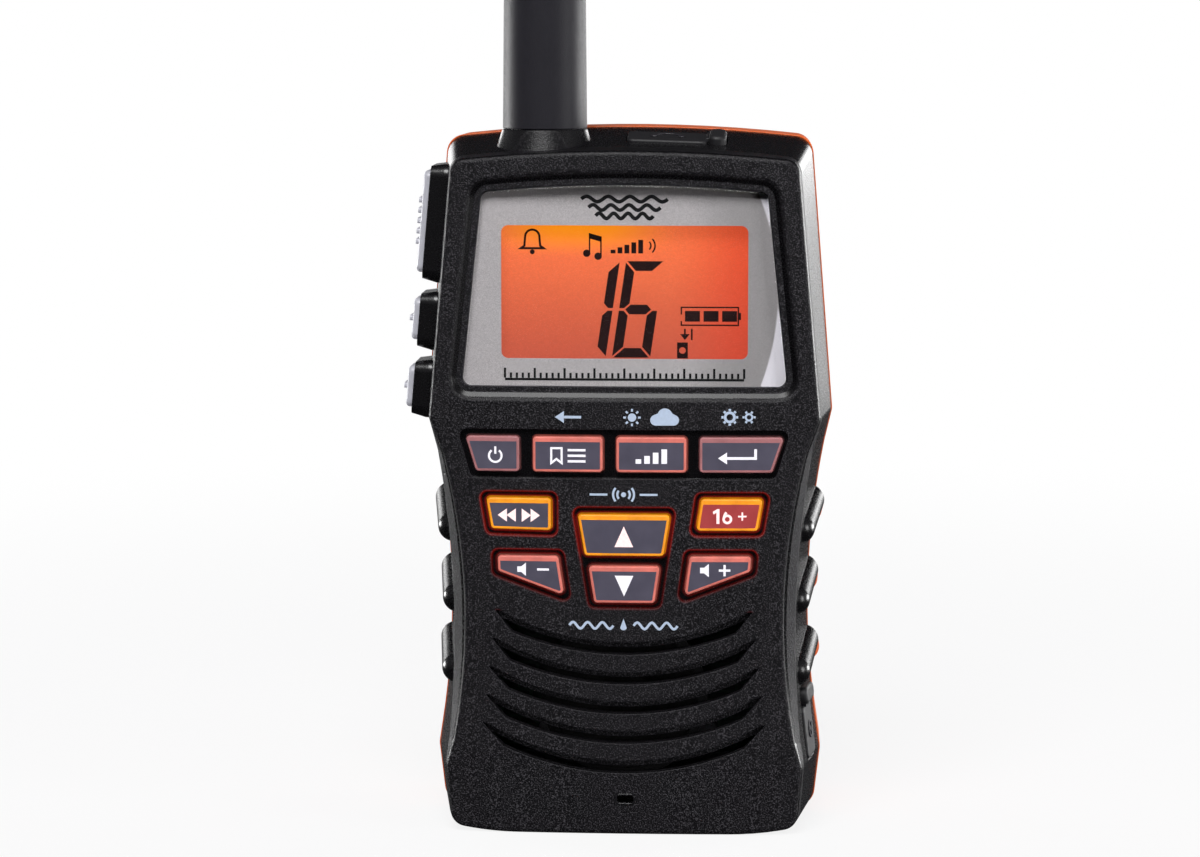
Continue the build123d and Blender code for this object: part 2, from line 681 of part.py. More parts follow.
# ---------------------------------------------------------------- rear shell
with BuildPart() as rear_housing:
    for section in (rear_rim_section, knee_section, back_section):
        with BuildSketch(facing(-section.y)):
            body_outline(section)
    loft(ruled=True)
    fillet(faces().sort_by(Axis.Y)[-1].edges(), back_edge_radius)
    grip_ridges(ridge_reach)

    with BuildSketch(Plane.YZ.offset(eye_x - eye_thickness / 2)):
        with Locations((rear_depth + eye_stand, eye_height)):
            Circle(eye_bore + eye_wall)
        with Locations((rear_depth, eye_height)):
            Rectangle(2 * eye_stand, 2 * (eye_bore + eye_wall))
    extrude(amount=eye_thickness)
    with BuildSketch(Plane.YZ.offset(eye_x - eye_thickness)):
        with Locations((rear_depth + eye_stand, eye_height)):
            Circle(eye_bore)
    extrude(amount=2 * eye_thickness, mode=Mode.SUBTRACT)

    for bottom, depth in (
        (0, bay_front - bay_wall),
        (bay_top + bay_wall, door_inner - back_wall),
        (upper_bay_bottom, rear_depth - back_wall),
    ):
        with BuildSketch(facing(0)):
            cavity_outline()
            with Locations((0, bottom)):
                Rectangle(
                    body_height, body_height, align=(Align.CENTER, Align.MIN), mode=Mode.INTERSECT
                )
        extrude(amount=-depth, mode=Mode.SUBTRACT)

    discs(both_sides(boss_points), well_radius + tube_wall, -door_inner, door_inner)
    discs(both_sides(boss_points), boss_radius, 0, chassis_front - chassis_thickness)
    discs(both_sides(boss_points), well_radius, -2 * rear_depth, 2 * rear_depth - screw_seat, Mode.SUBTRACT)
    discs(both_sides(boss_points), screw_hole_radius, -rear_depth, 2 * rear_depth, Mode.SUBTRACT)

    slab(bay_half, bay_bottom, bay_top, -bay_front, rear_depth, mode=Mode.SUBTRACT)
    slab(
        door_half + door_fit,
        door_bottom - door_fit,
        door_top + door_fit,
        -door_inner,
        rear_depth,
        door_radius + door_fit,
        Mode.SUBTRACT,
    )
    add(door_seal.part, mode=Mode.SUBTRACT)
    discs(
        door_screw_points,
        door_screw_shank + door_boss_wall,
        -(door_inner - back_wall / 2),
        door_screw_length - back_wall / 2,
    )
    discs(door_screw_points, door_screw_shank + running_gap, -door_inner, door_inner, Mode.SUBTRACT)

with BuildPart() as housing_screws:
    points = both_sides(boss_points)
    discs(points, screw_head_radius, -screw_seat - screw_head_height, screw_head_height)
    discs(points, screw_radius, -screw_seat, screw_length)

# ---------------------------------------------------------------- window and display
with BuildPart() as window_lens:
    with BuildSketch(facing(lens_back)):
        lens_outline(-lens_fit)
    extrude(amount=face_depth)
    crown(frame_depth - lens_proud, Mode.INTERSECT)
    fillet(faces().sort_by(Axis.Y)[0].edges(), key_edge_radius)

with BuildPart() as window_mask:
    with BuildSketch(facing(lens_back)):
        lens_outline(-lens_fit)
        window_outline(window_half, window_bottom, window_top, mode=Mode.SUBTRACT)
    extrude(amount=-mask_thickness)

with BuildPart() as lens_gasket:
    with BuildSketch(facing(lens_back - mask_thickness)):
        lens_outline(-lens_fit)
        lens_outline(-lens_fit - gasket_width, Mode.SUBTRACT)
    extrude(amount=-gasket_thickness)

with BuildPart() as lcd_panel:
    slab(lcd_half, lcd_bottom, lcd_top, lcd_front, lcd_thickness)

with BuildPart() as lcd_backlight:
    slab(lcd_half, lcd_bottom, lcd_top, lcd_front - lcd_thickness, backlight_thickness)

with BuildPart() as lcd_frame:
    rim = lcd_frame_rim + bonded_gap
    stack = lcd_thickness + backlight_thickness
    slab(lcd_half + rim, lcd_bottom - rim, lcd_top + rim, seat_depth, seat_depth - lcd_front + stack)
    slab(
        lcd_half + bonded_gap,
        lcd_bottom - bonded_gap,
        lcd_top + bonded_gap,
        lcd_front,
        stack,
        mode=Mode.SUBTRACT,
    )
    slab(view_half, view_bottom, view_top, seat_depth, seat_depth - lcd_front, mode=Mode.SUBTRACT)

# ---------------------------------------------------------------- keys
key_pieces = {}
for name, corners in key_corners.items():
    with BuildPart() as key:
        with BuildSketch(facing(flange_front)):
            polygon(corners, key_radius)
        extrude(amount=face_depth)
        crown(-key_proud, Mode.INTERSECT)
        fillet(faces().sort_by(Axis.Y)[0].edges(), key_edge_radius)
        with BuildSketch(facing(flange_front)):
            polygon(corners, key_radius, flange_rim)
        extrude(amount=-flange_thickness)
        with BuildSketch(facing(flange_front)):
            polygon(corners, key_radius, -stem_inset)
        extrude(amount=stem_end - flange_front)
    key_pieces[name] = key

with BuildPart() as keypad_mat:
    with BuildSketch(facing(mat_front)):
        cavity_outline(bonded_gap)
        with Locations((0, mat_bottom)):
            Rectangle(
                body_height, mat_top - mat_bottom, align=(Align.CENTER, Align.MIN), mode=Mode.INTERSECT
            )
        with Locations(*both_sides(boss_points[1:2])):
            Circle(boss_radius + bonded_gap, mode=Mode.SUBTRACT)
        for corners in key_corners.values():
            polygon(corners, key_radius, -mat_hole_inset, Mode.SUBTRACT)
    extrude(amount=-mat_thickness)
    discs(peg_points, peg_radius, key_board_front, face_inner - key_board_front)

with BuildPart() as key_board:
    slab(key_board_half, key_board_bottom, key_board_top, key_board_front, key_board_thickness)

with BuildPart() as key_domes:
    centres = [(sum(x for x, _ in spots) / 4, sum(z for _, z in spots) / 4) for spots in key_corners.values()]
    discs(centres, dome_radius, key_board_front, dome_height)

# ---------------------------------------------------------------- speaker and microphone
with BuildPart() as speaker_frame:
    back = basket_depth - speaker_front
    turned(
        [
            (speaker_radius - rim_width, -speaker_front),
            (speaker_radius, -speaker_front),
            (speaker_radius, rim_thickness - speaker_front),
            (basket_back_radius, back),
            (magnet_radius, back),
            (magnet_radius, back + magnet_thickness),
            (0, back + magnet_thickness),
            (0, back - basket_sheet),
            (basket_back_radius - basket_sheet, back - basket_sheet),
            (speaker_radius - rim_width, rim_thickness - speaker_front),
        ],
        speaker_plane,
        speaker_axis,
    )

with BuildPart() as speaker_cone:
    edge = speaker_radius - rim_width - running_gap
    front = cone_thickness - speaker_front
    turned(
        [
            (0, front + cone_depth - cone_thickness * 3),
            (dome_cap_radius, front + cone_depth - cone_thickness),
            (edge, front),
            (edge, front + cone_thickness),
            (dome_cap_radius, front + cone_depth),
            (0, front + cone_depth - cone_thickness * 2),
        ],
        speaker_plane,
        speaker_axis,
    )

mic_point = [(mic_x, mic_height)]
with BuildPart() as mic_boot:
    boot_depth = mic_boot_floor + mic_thickness
    discs(mic_point, mic_radius + mic_boot_wall, face_inner - boot_depth, boot_depth)
    discs(mic_point, mic_radius + running_gap, face_inner - boot_depth, mic_thickness, Mode.SUBTRACT)
    discs(mic_point, mic_hole_height / 2, face_inner - boot_depth, boot_depth, Mode.SUBTRACT)

with BuildPart() as microphone:
    discs(mic_point, mic_radius, face_inner - mic_boot_floor - mic_thickness, mic_thickness)

# ---------------------------------------------------------------- side buttons
side_pieces = {}
for name, (height, length, width) in side_buttons.items():
    with BuildPart() as button:
        shelf = boss_proud - side_lip
        top = boss_proud + cap_proud
        inset = 2 * side_stem_inset
        side_block(height, length, width, shelf, top)
        fillet(faces().sort_by(Axis(side_plane.origin, side_plane.z_dir))[-1].edges(), side_rib_height)
        side_block(height, length, width + 2 * side_flange_rim, shelf - side_flange_thickness, shelf, 0.6)
        side_block(height, length - inset, width - inset, stem_foot, shelf - side_flange_thickness, 0.6)
        for index in range(side_ribs[name]):
            rib_height = height + side_rib_pitch * (index - (side_ribs[name] - 1) / 2)
            side_block(rib_height, side_rib_width, width - inset, shelf, top + side_rib_height, 0.4)
    side_pieces[name] = button

with BuildPart() as side_board:
    heights = [height for height, _, _ in side_buttons.values()]
    side_block(
        (max(heights) + min(heights)) / 2,
        max(heights) - min(heights) + 2 * side_board_end,
        side_board_width,
        -side_board_depth - side_board_thickness,
        -side_board_depth,
        0.6,
    )

with BuildPart() as side_switches:
    for height, _, _ in side_buttons.values():
        side_block(height, switch_size, switch_size, -side_board_depth, switch_height - side_board_depth, 0.4)

# ---------------------------------------------------------------- antenna
stud_top = body_height + stud_length
antenna_base = body_height + antenna_gap
antenna_tip = antenna_base + antenna_length
ferrule_top = antenna_base + ferrule_height
coil_top = antenna_tip - coil_top_margin

with BuildPart() as antenna_jack:
    antenna_rod(stud_radius, jack_bottom, stud_top)
    antenna_rod(jack_flange_radius, jack_flange_top - jack_flange_thickness, jack_flange_top)

with BuildPart() as antenna_seal:
    turned(seal_profile(running_gap, seal_groove + seal_proud), antenna_plane, antenna_axis)

with BuildPart() as antenna_ferrule:
    antenna_rod(stud_radius + running_gap + ferrule_wall, antenna_base, ferrule_top)
    antenna_rod(stud_radius + running_gap, antenna_base, ferrule_top - ferrule_cap, Mode.SUBTRACT)

with BuildPart() as antenna_core:
    antenna_rod(coil_outer - coil_wire - running_gap, ferrule_top, coil_top)

with BuildPart() as antenna_coil:
    antenna_rod(coil_outer, ferrule_top, coil_top)
    antenna_rod(coil_outer - coil_wire, ferrule_top, coil_top, Mode.SUBTRACT)

with BuildPart() as antenna_sleeve:
    bore = coil_outer + running_gap
    socket = stud_radius + ferrule_wall + 2 * running_gap
    turned(
        [
            (0, antenna_tip),
            (antenna_tip_radius, antenna_tip),
            (antenna_base_radius, antenna_base),
            (socket, antenna_base),
            (socket, ferrule_top),
            (bore, ferrule_top),
            (bore, coil_top),
            (0, coil_top),
        ],
        antenna_plane,
        antenna_axis,
    )
    fillet(faces().sort_by(Axis.Z)[-1].edges(), antenna_tip_fillet)

# ---------------------------------------------------------------- jack covers and jacks
flaps, anchors, jacks = {}, {}, {}
for name, cover in covers.items():
    floor = cover.plane.offset(-cover_depth)
    outward = Axis(cover.plane.origin, cover.plane.z_dir)
    with BuildPart() as flap:
        with BuildSketch(floor):
            with Locations((cover.flap_middle(), 0)):
                RectangleRounded(cover.flap, cover.width, cover_radius)
        extrude(amount=cover_depth + cover_proud)
        fillet(faces().sort_by(outward)[-1].edges(), cover_proud)
        jack_bar(cover, plug_radius, 0, plug_length)
        hinge_bar(cover, hinge_bead)
    flaps[name] = flap
    with BuildPart() as anchor:
        with BuildSketch(floor):
            with Locations((cover.anchor_middle(), 0)):
                RectangleRounded(cover.anchor, cover.width, cover.anchor / 2 - bonded_gap)
        extrude(amount=cover_depth + anchor_proud)
        fillet(faces().sort_by(outward)[-1].edges(), anchor_proud / 2)
        hinge_bar(cover, hinge_bead + running_gap, Mode.SUBTRACT)
    anchors[name] = anchor
    with BuildPart() as jack:
        jack_bar(cover, jack_radius + jack_wall, jack_start, jack_length)
        jack_bar(cover, jack_radius, jack_start, jack_length, Mode.SUBTRACT)
    jacks[name] = jack

# ---------------------------------------------------------------- boards and chassis
board_back = board_front - board_thickness
with BuildPart() as main_board:
    slab(board_half, board_bottom, board_top, board_front, board_thickness)
    discs(both_sides(boss_points), boss_radius + bonded_gap * 3, board_back, board_thickness, Mode.SUBTRACT)
    discs(both_sides(board_screw_points), board_screw_hole, board_back, board_thickness, Mode.SUBTRACT)

with BuildPart() as shield_cans:
    with BuildSketch(facing(board_front)):
        for x, z, width, height in can_places:
            with Locations((x, z)):
                RectangleRounded(width, height, window_radius)
    extrude(amount=can_height)

with BuildPart() as chassis:
    with BuildSketch(facing(chassis_front)):
        cavity_outline(chassis_margin)
        window_outline(
            chassis_window_half, chassis_window_bottom, chassis_window_top, mode=Mode.SUBTRACT
        )
    extrude(amount=-chassis_thickness)
    discs(both_sides(board_screw_points), boss_radius, chassis_front, board_back - chassis_front)
    chassis_back = chassis_front - chassis_thickness
    discs(both_sides(board_screw_points), board_screw_hole, chassis_back, board_back, Mode.SUBTRACT)
    discs(both_sides(boss_points), screw_hole_radius, chassis_back, chassis_thickness, Mode.SUBTRACT)

with BuildPart() as board_screws:
    points = both_sides(board_screw_points)
    discs(points, screw_head_radius, board_front, board_screw_head)
    discs(points, board_screw_hole - running_gap, chassis_back, board_front - chassis_back)

# ---------------------------------------------------------------- battery bay
tray_half = bay_half - tray_fit
tray_bottom = bay_bottom + tray_fit
tray_top = bay_top - tray_fit
tray_face = bay_front + bonded_gap
with BuildPart() as battery_tray:
    slab(tray_half, tray_bottom, tray_top, -tray_face, tray_depth)
    slab(
        tray_half - tray_side,
        tray_bottom + tray_wall,
        tray_top - tray_wall,
        -tray_face - tray_floor,
        tray_depth,
        tray_side / 2,
        Mode.SUBTRACT,
    )

low_contact = tray_bottom + tray_wall + contact_thickness
high_contact = tray_top - tray_wall - contact_thickness
spring_height = high_contact - low_contact - cell_length - cell_nub
cell_y = tray_face + tray_floor + bonded_gap + cell_radius
cell_pitch = 2 * cell_radius + cell_gap
cell_xs = [cell_pitch * (index - (cell_count - 1) / 2) for index in range(cell_count)]
contact_half = cell_xs[-1] + cell_radius - contact_thickness


def cell_disc(x, radius, bottom, top, mode=Mode.ADD):
    """Upright cylinder in line with a battery cell."""
    with BuildSketch(Plane.XY.offset(bottom)) as foot:
        with Locations((x, cell_y)):
            Circle(radius)
    extrude(foot.sketch, amount=top - bottom, mode=mode)


with BuildPart() as battery_cells:
    for index, x in enumerate(cell_xs):
        if index % 2:
            cell_disc(x, cell_nub_radius, low_contact, low_contact + cell_nub)
            cell_disc(x, cell_radius, low_contact + cell_nub, low_contact + cell_nub + cell_length)
        else:
            cell_disc(x, cell_radius, high_contact - cell_nub - cell_length, high_contact - cell_nub)
            cell_disc(x, cell_nub_radius, high_contact - cell_nub, high_contact)

with BuildPart() as battery_contacts:
    for z in (low_contact - contact_thickness, high_contact):
        with BuildSketch(Plane.XY.offset(z)):
            with Locations((0, cell_y)):
                Rectangle(2 * contact_half, 2 * (cell_radius - contact_thickness))
        extrude(amount=contact_thickness)
    for index, x in enumerate(cell_xs):
        foot = high_contact - spring_height if index % 2 else low_contact
        cell_disc(x, spring_radius, foot, foot + spring_height)
        cell_disc(x, spring_radius - spring_wire, foot, foot + spring_height, Mode.SUBTRACT)

with BuildPart() as battery_door:
    slab(door_half, door_bottom, door_top, -door_inner, door_thickness, door_radius)
    fillet(faces().sort_by(Axis.Y)[-1].edges(), key_edge_radius)
    discs(
        door_screw_points,
        door_screw_head + running_gap,
        -rear_depth,
        door_screw_head_height,
        Mode.SUBTRACT,
    )
    discs(door_screw_points, door_screw_shank + running_gap, -rear_depth, door_thickness, Mode.SUBTRACT)

door_screws = {}
for name, point in zip(("right_door_screw", "left_door_screw"), door_screw_points):
    with BuildPart() as screw:
        discs([point], door_screw_head, -rear_depth, door_screw_head_height)
        discs([point], door_screw_shank, -rear_depth, door_screw_length)
        with BuildSketch(facing(-rear_depth)):
            with Locations(point):
                Rectangle(2 * door_screw_head, coin_slot_width)
        extrude(amount=coin_slot_depth, mode=Mode.SUBTRACT)
    door_screws[name] = screw

# ---------------------------------------------------------------- belt clip
clip_face = clip_hinge_y + clip_knuckle_radius + clip_arm_relief
clip_base_back = rear_depth + clip_base_thickness
ear_inner = clip_half - clip_ear


def clip_disc(radius, low, high, mode=Mode.ADD):
    """Cylinder along the clip's hinge, between two places on X."""
    with BuildSketch(Plane.YZ.offset(low)) as end:
        with Locations((clip_hinge_y, clip_hinge_height)):
            Circle(radius)
    extrude(end.sketch, amount=high - low, mode=mode)


def clip_bar(y_low, y_high, z_low, z_high, low, high):
    """Square-edged bar across the clip, between two places on X."""
    with BuildSketch(Plane.YZ.offset(low)) as end:
        with Locations((y_low, z_low)):
            Rectangle(y_high - y_low, z_high - z_low, align=(Align.MIN, Align.MIN))
    extrude(end.sketch, amount=high - low)


with BuildPart() as clip_base:
    with BuildSketch(facing(-rear_depth)):
        window_outline(clip_half, clip_base_bottom, clip_base_top)
    extrude(amount=-clip_base_thickness)
    for low in (-clip_half, ear_inner):
        with BuildSketch(Plane.YZ.offset(low)):
            with Locations((clip_hinge_y, clip_hinge_height)):
                Circle(clip_knuckle_radius)
            with Locations((rear_depth + clip_base_thickness / 2, clip_hinge_height)):
                Rectangle(clip_base_thickness, 4 * clip_knuckle_radius)
            make_hull()
        extrude(amount=clip_ear)
    clip_disc(clip_pin_radius + running_gap, -clip_half, clip_half, Mode.SUBTRACT)

with BuildPart() as clip_arm:
    with BuildSketch(facing(-clip_face)):
        window_outline(clip_half, clip_bottom, clip_top, 3.0)
    extrude(amount=-clip_thickness)
    fillet(faces().sort_by(Axis.Y)[-1].edges(), clip_thickness / 4)
    clip_bar(
        clip_face - clip_hook, clip_face, clip_bottom, clip_bottom + clip_hook_height, -ear_inner, ear_inner
    )
    for way in (-1, 1):
        ends = sorted([way * (clip_spring_half + clip_play), way * (ear_inner - clip_play)])
        clip_disc(clip_knuckle_radius, *ends)
        clip_bar(
            clip_hinge_y,
            clip_face,
            clip_hinge_height - clip_knuckle_radius,
            clip_hinge_height + clip_knuckle_radius,
            *ends,
        )
    clip_disc(clip_pin_radius + running_gap, -ear_inner, ear_inner, Mode.SUBTRACT)

with BuildPart() as clip_pin:
    clip_disc(clip_pin_radius, -clip_half, clip_half)

with BuildPart() as clip_spring:
    coil_inner = clip_pin_radius + clip_play * 2
    coil = coil_inner + clip_wire
    clip_disc(coil, -clip_spring_half, clip_spring_half)
    clip_bar(
        clip_base_back,
        clip_hinge_y,
        clip_hinge_height + coil_inner,
        clip_hinge_height + coil,
        -clip_spring_half,
        clip_wire - clip_spring_half,
    )
    clip_bar(
        clip_hinge_y,
        clip_face - running_gap,
        clip_hinge_height - coil,
        clip_hinge_height - coil_inner,
        clip_spring_half - clip_wire,
        clip_spring_half,
    )
    clip_disc(coil_inner, -clip_spring_half, clip_spring_half, Mode.SUBTRACT)

# ---------------------------------------------------------------- labels and files
finished = {
    "front_housing": front_housing,
    "rear_housing": rear_housing,
    "housing_seal": housing_seal,
    "housing_screws": housing_screws,
    "window_lens": window_lens,
    "window_mask": window_mask,
    "lens_gasket": lens_gasket,
    "lcd_panel": lcd_panel,
    "lcd_backlight": lcd_backlight,
    "lcd_frame": lcd_frame,
    "keypad_mat": keypad_mat,
    "key_board": key_board,
    "key_domes": key_domes,
    "speaker_frame": speaker_frame,
    "speaker_cone": speaker_cone,
    "mic_boot": mic_boot,
    "microphone": microphone,
    "side_board": side_board,
    "side_switches": side_switches,
    "antenna_jack": antenna_jack,
    "antenna_seal": antenna_seal,
    "antenna_ferrule": antenna_ferrule,
    "antenna_core": antenna_core,
    "antenna_coil": antenna_coil,
    "antenna_sleeve": antenna_sleeve,
    "main_board": main_board,
    "shield_cans": shield_cans,
    "chassis": chassis,
    "board_screws": board_screws,
    "battery_tray": battery_tray,
    "battery_cells": battery_cells,
    "battery_contacts": battery_contacts,
    "battery_door": battery_door,
    "door_seal": door_seal,
    "clip_base": clip_base,
    "clip_arm": clip_arm,
    "clip_pin": clip_pin,
    "clip_spring": clip_spring,
    **key_pieces,
    **side_pieces,
    **door_screws,
    **{f"{name}_flap": piece for name, piece in flaps.items()},
    **{f"{name}_anchor": piece for name, piece in anchors.items()},
    **{f"{name}_jack": piece for name, piece in jacks.items()},
}
os.makedirs("parts", exist_ok=True)
for name, piece in finished.items():
    piece.part.label = name
    export_step(piece.part, f"parts/{name}.step")
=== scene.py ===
import json
from math import cos, hypot, radians, sin, sqrt

import bmesh
import bpy
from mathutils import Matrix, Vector
from mathutils.geometry import convex_hull_2d, tessellate_polygon


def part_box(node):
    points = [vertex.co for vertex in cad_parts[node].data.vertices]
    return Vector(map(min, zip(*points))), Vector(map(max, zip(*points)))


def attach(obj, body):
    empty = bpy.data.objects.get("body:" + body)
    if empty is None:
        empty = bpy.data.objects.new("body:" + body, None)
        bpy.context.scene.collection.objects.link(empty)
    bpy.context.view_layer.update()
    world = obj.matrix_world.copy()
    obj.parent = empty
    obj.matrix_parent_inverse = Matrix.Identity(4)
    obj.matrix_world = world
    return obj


# The looks of a handheld marine radio, built round its CAD frame. Sizes are millimetres, and MM turns
# them into the scene's metres. The face looks along -Y, and an outline's two numbers are X and Z.
MM = 0.001

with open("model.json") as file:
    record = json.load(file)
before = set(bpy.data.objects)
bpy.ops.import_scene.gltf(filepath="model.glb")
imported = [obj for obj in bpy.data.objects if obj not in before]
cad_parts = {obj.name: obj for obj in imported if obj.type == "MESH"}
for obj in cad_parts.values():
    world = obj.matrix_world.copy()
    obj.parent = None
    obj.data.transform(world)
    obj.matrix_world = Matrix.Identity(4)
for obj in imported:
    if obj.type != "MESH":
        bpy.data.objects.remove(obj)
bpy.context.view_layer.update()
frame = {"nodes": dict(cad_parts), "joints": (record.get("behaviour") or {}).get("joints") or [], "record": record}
nodes = frame["nodes"]

# ---------------------------------------------------------------- places taken from the frame
CROWN_RADIUS = 400.0  # of the upright cylinder that the face lies on
FACE_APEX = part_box("front_housing")[0].y / MM
CROWN_AXIS = FACE_APEX + CROWN_RADIUS
KEY_PROUD = FACE_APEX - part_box("key_up")[0].y / MM
LCD_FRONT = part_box("lcd_panel")[0].y / MM
MASK_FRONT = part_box("window_mask")[0].y / MM

INK = 0.02  # height of a print over what carries it
COLUMN = 1.2  # widest step of a thin piece that follows a curve

# ---------------------------------------------------------------- colours, as red, green and blue out of 255
BLACK_PLASTIC = (15, 14, 17)
# the second colour: glints painted on the face's pebbles
BLACK_GLOSS, GLINT_GREY = (11, 10, 12), (64, 62, 66)
BLACK_RUBBER = (26, 25, 28)
ANTENNA_GREY = (36, 35, 40)
BUTTON_GREY = (184, 184, 192)
SHELL_ORANGE = (224, 98, 26)
MASK_SILVER = (212, 208, 209)
# the colour of a reflection painted on the silver print behind the window
MASK_REFLECTION = (241, 239, 243)
MASK_INK = (14, 14, 16)
LCD_CREST, LCD_UPPER, LCD_LOWER, LCD_SIDE = (255, 146, 12), (234, 110, 62), (188, 88, 64), (208, 64, 38)
LCD_SHADE, LCD_INK = (150, 54, 44), (26, 6, 6)
RIM_CORAL, RIM_DIM, RIM_AMBER = (208, 112, 100), (166, 108, 110), (238, 146, 18)
KEY_SLATE, KEY_RED = (78, 75, 90), (168, 60, 60)
LEGEND_WHITE, LEGEND_PINK = (228, 226, 232), (242, 214, 212)
LABEL_BLUE = (182, 197, 218)
# the first colour is the keys' red light, painted as a glow on the front shell
GLOW_RED, GUIDE_AMBER = (150, 22, 14), (250, 170, 60)
SEAL_BLACK, PAPER_BLACK, FELT_BLACK = (26, 26, 27), (22, 21, 20), (18, 18, 19)
PLASTIC_GREY, WINDOW_CLEAR = (66, 67, 70), (250, 251, 252)
STEEL, BRASS, ALUMINIUM = (176, 176, 180), (196, 158, 92), (150, 152, 158)
BOARD_DARK, BOARD_GREEN, BOARD_TRACE = (9, 34, 24), (13, 44, 30), (26, 70, 46)
SLEEVE_DARK, SLEEVE_LIGHT, SLEEVE_COPPER = (34, 36, 42), (52, 54, 62), (176, 120, 62)
FLOOR_PAPER = (226, 226, 228)
STUDIO_FRONT, STUDIO_BACK, STUDIO_FLOOR = (100, 100, 103), (96, 96, 99), (44, 44, 46)
STUDIO_DARK, WHITE = (36, 36, 38), (255, 255, 255)


def linear(colour):
    """A colour out of 255 as the renderer's linear red, green, blue and alpha."""
    shares = [part / 255 for part in colour]
    return (*[s / 12.92 if s < 0.04045 else ((s + 0.055) / 1.055) ** 2.4 for s in shares], 1.0)


def shade(colour, factor):
    """The colour, lighter or darker."""
    return tuple(min(255, part * factor) for part in colour)


# ---------------------------------------------------------------- materials
MIX_FIRST, MIX_SECOND, MIX_COLOUR = 6, 7, 2  # a mix node's sockets for two colours, and its output
EDGE_TURN = (0.995, 0.82)  # cosines between a face and its rounded normal, from a flat face to a full edge
MOST = (0.3, 0.7)  # the range that holds most of a noise's values
CLOUD_SIZE = 40  # how many times a plastic's cloudiness is wider than its grain


class Nodes:
    """A node tree being made, and short ways to add nodes and join them."""

    def __init__(self, tree, coordinates):
        self.tree = tree
        self.place = self.add("ShaderNodeTexCoord").outputs[coordinates]

    def add(self, kind, settings=None, **sockets):
        """A new node, its settings made and its sockets filled."""
        node = self.tree.nodes.new(kind)
        for setting, value in (settings or {}).items():
            setattr(node, setting, value)
        for socket, value in sockets.items():
            self.join(value, node.inputs[socket.replace("_", " ")])
        return node

    def join(self, value, socket):
        """Fills a socket with another node's output or with a plain value."""
        if isinstance(value, bpy.types.NodeSocket):
            self.tree.links.new(value, socket)
        else:
            socket.default_value = value

    def math(self, operation, first, second=0.0, clamp=False):
        node = self.add("ShaderNodeMath", {"operation": operation, "use_clamp": clamp})
        self.join(first, node.inputs[0])
        self.join(second, node.inputs[1])
        return node.outputs[0]

    def split(self):
        """The place's X, Y and Z."""
        return self.add("ShaderNodeSeparateXYZ", Vector=self.place).outputs

    def within(self, value, low, high, soft):
        """1 between two millimetre values, and 0 outside them."""
        above = self.span(value, low - soft, low)
        return self.math("MULTIPLY", above, self.span(value, high + soft, high))

    def distance(self, first, second):
        """The length of a way whose two parts lie at right angles."""
        squares = [self.math("MULTIPLY", part, part) for part in (first, second)]
        return self.math("SQRT", self.math("ADD", *squares))

    def sight(self):
        """Whether a ray comes from the camera, and whether it was mirrored or came through glass."""
        path = self.add("ShaderNodeLightPath").outputs
        mirrored = self.math("ADD", path["Is Glossy Ray"], path["Is Transmission Ray"], clamp=True)
        return path["Is Camera Ray"], mirrored

    def noise(self, size, detail=2.0, stretch=(1, 1, 1)):
        """Noise whose spots are about so many millimetres wide."""
        place = self.add("ShaderNodeMapping", Vector=self.place, Scale=stretch).outputs[0]
        return self.add("ShaderNodeTexNoise", Vector=place, Scale=1 / (size * MM), Detail=detail).outputs[0]

    def specks(self, size):
        """A random grey for each cell of about so many millimetres."""
        cells = self.add("ShaderNodeTexVoronoi", Vector=self.place, Scale=1 / (size * MM))
        return self.add("ShaderNodeSeparateColor", Color=cells.outputs["Color"]).outputs[0]

    def ramp(self, value, low, high, to_low=0.0, to_high=1.0, smooth=True):
        """The value carried from one range to another, and held at its ends."""
        settings = {"interpolation_type": "SMOOTHSTEP" if smooth else "LINEAR"}
        ends = {"From_Min": low, "From_Max": high, "To_Min": to_low, "To_Max": to_high}
        return self.add("ShaderNodeMapRange", settings, Value=value, **ends).outputs[0]

    def span(self, value, low, high, to_low=0.0, to_high=1.0):
        """A smooth ramp whose range is given in millimetres."""
        return self.ramp(value, low * MM, high * MM, to_low, to_high)

    def uneven(self, noise, low, high):
        """A value that wanders between two others, as a noise does."""
        return self.ramp(noise, *MOST, low, high)

    def mix(self, share, first, second):
        """Two colours mixed; each is a colour out of 255 or another node's output."""
        node = self.add("ShaderNodeMix", {"data_type": "RGBA"})
        self.join(share, node.inputs[0])
        for value, index in ((first, MIX_FIRST), (second, MIX_SECOND)):
            self.join(linear(value) if isinstance(value, tuple) else value, node.inputs[index])
        return node.outputs[MIX_COLOUR]


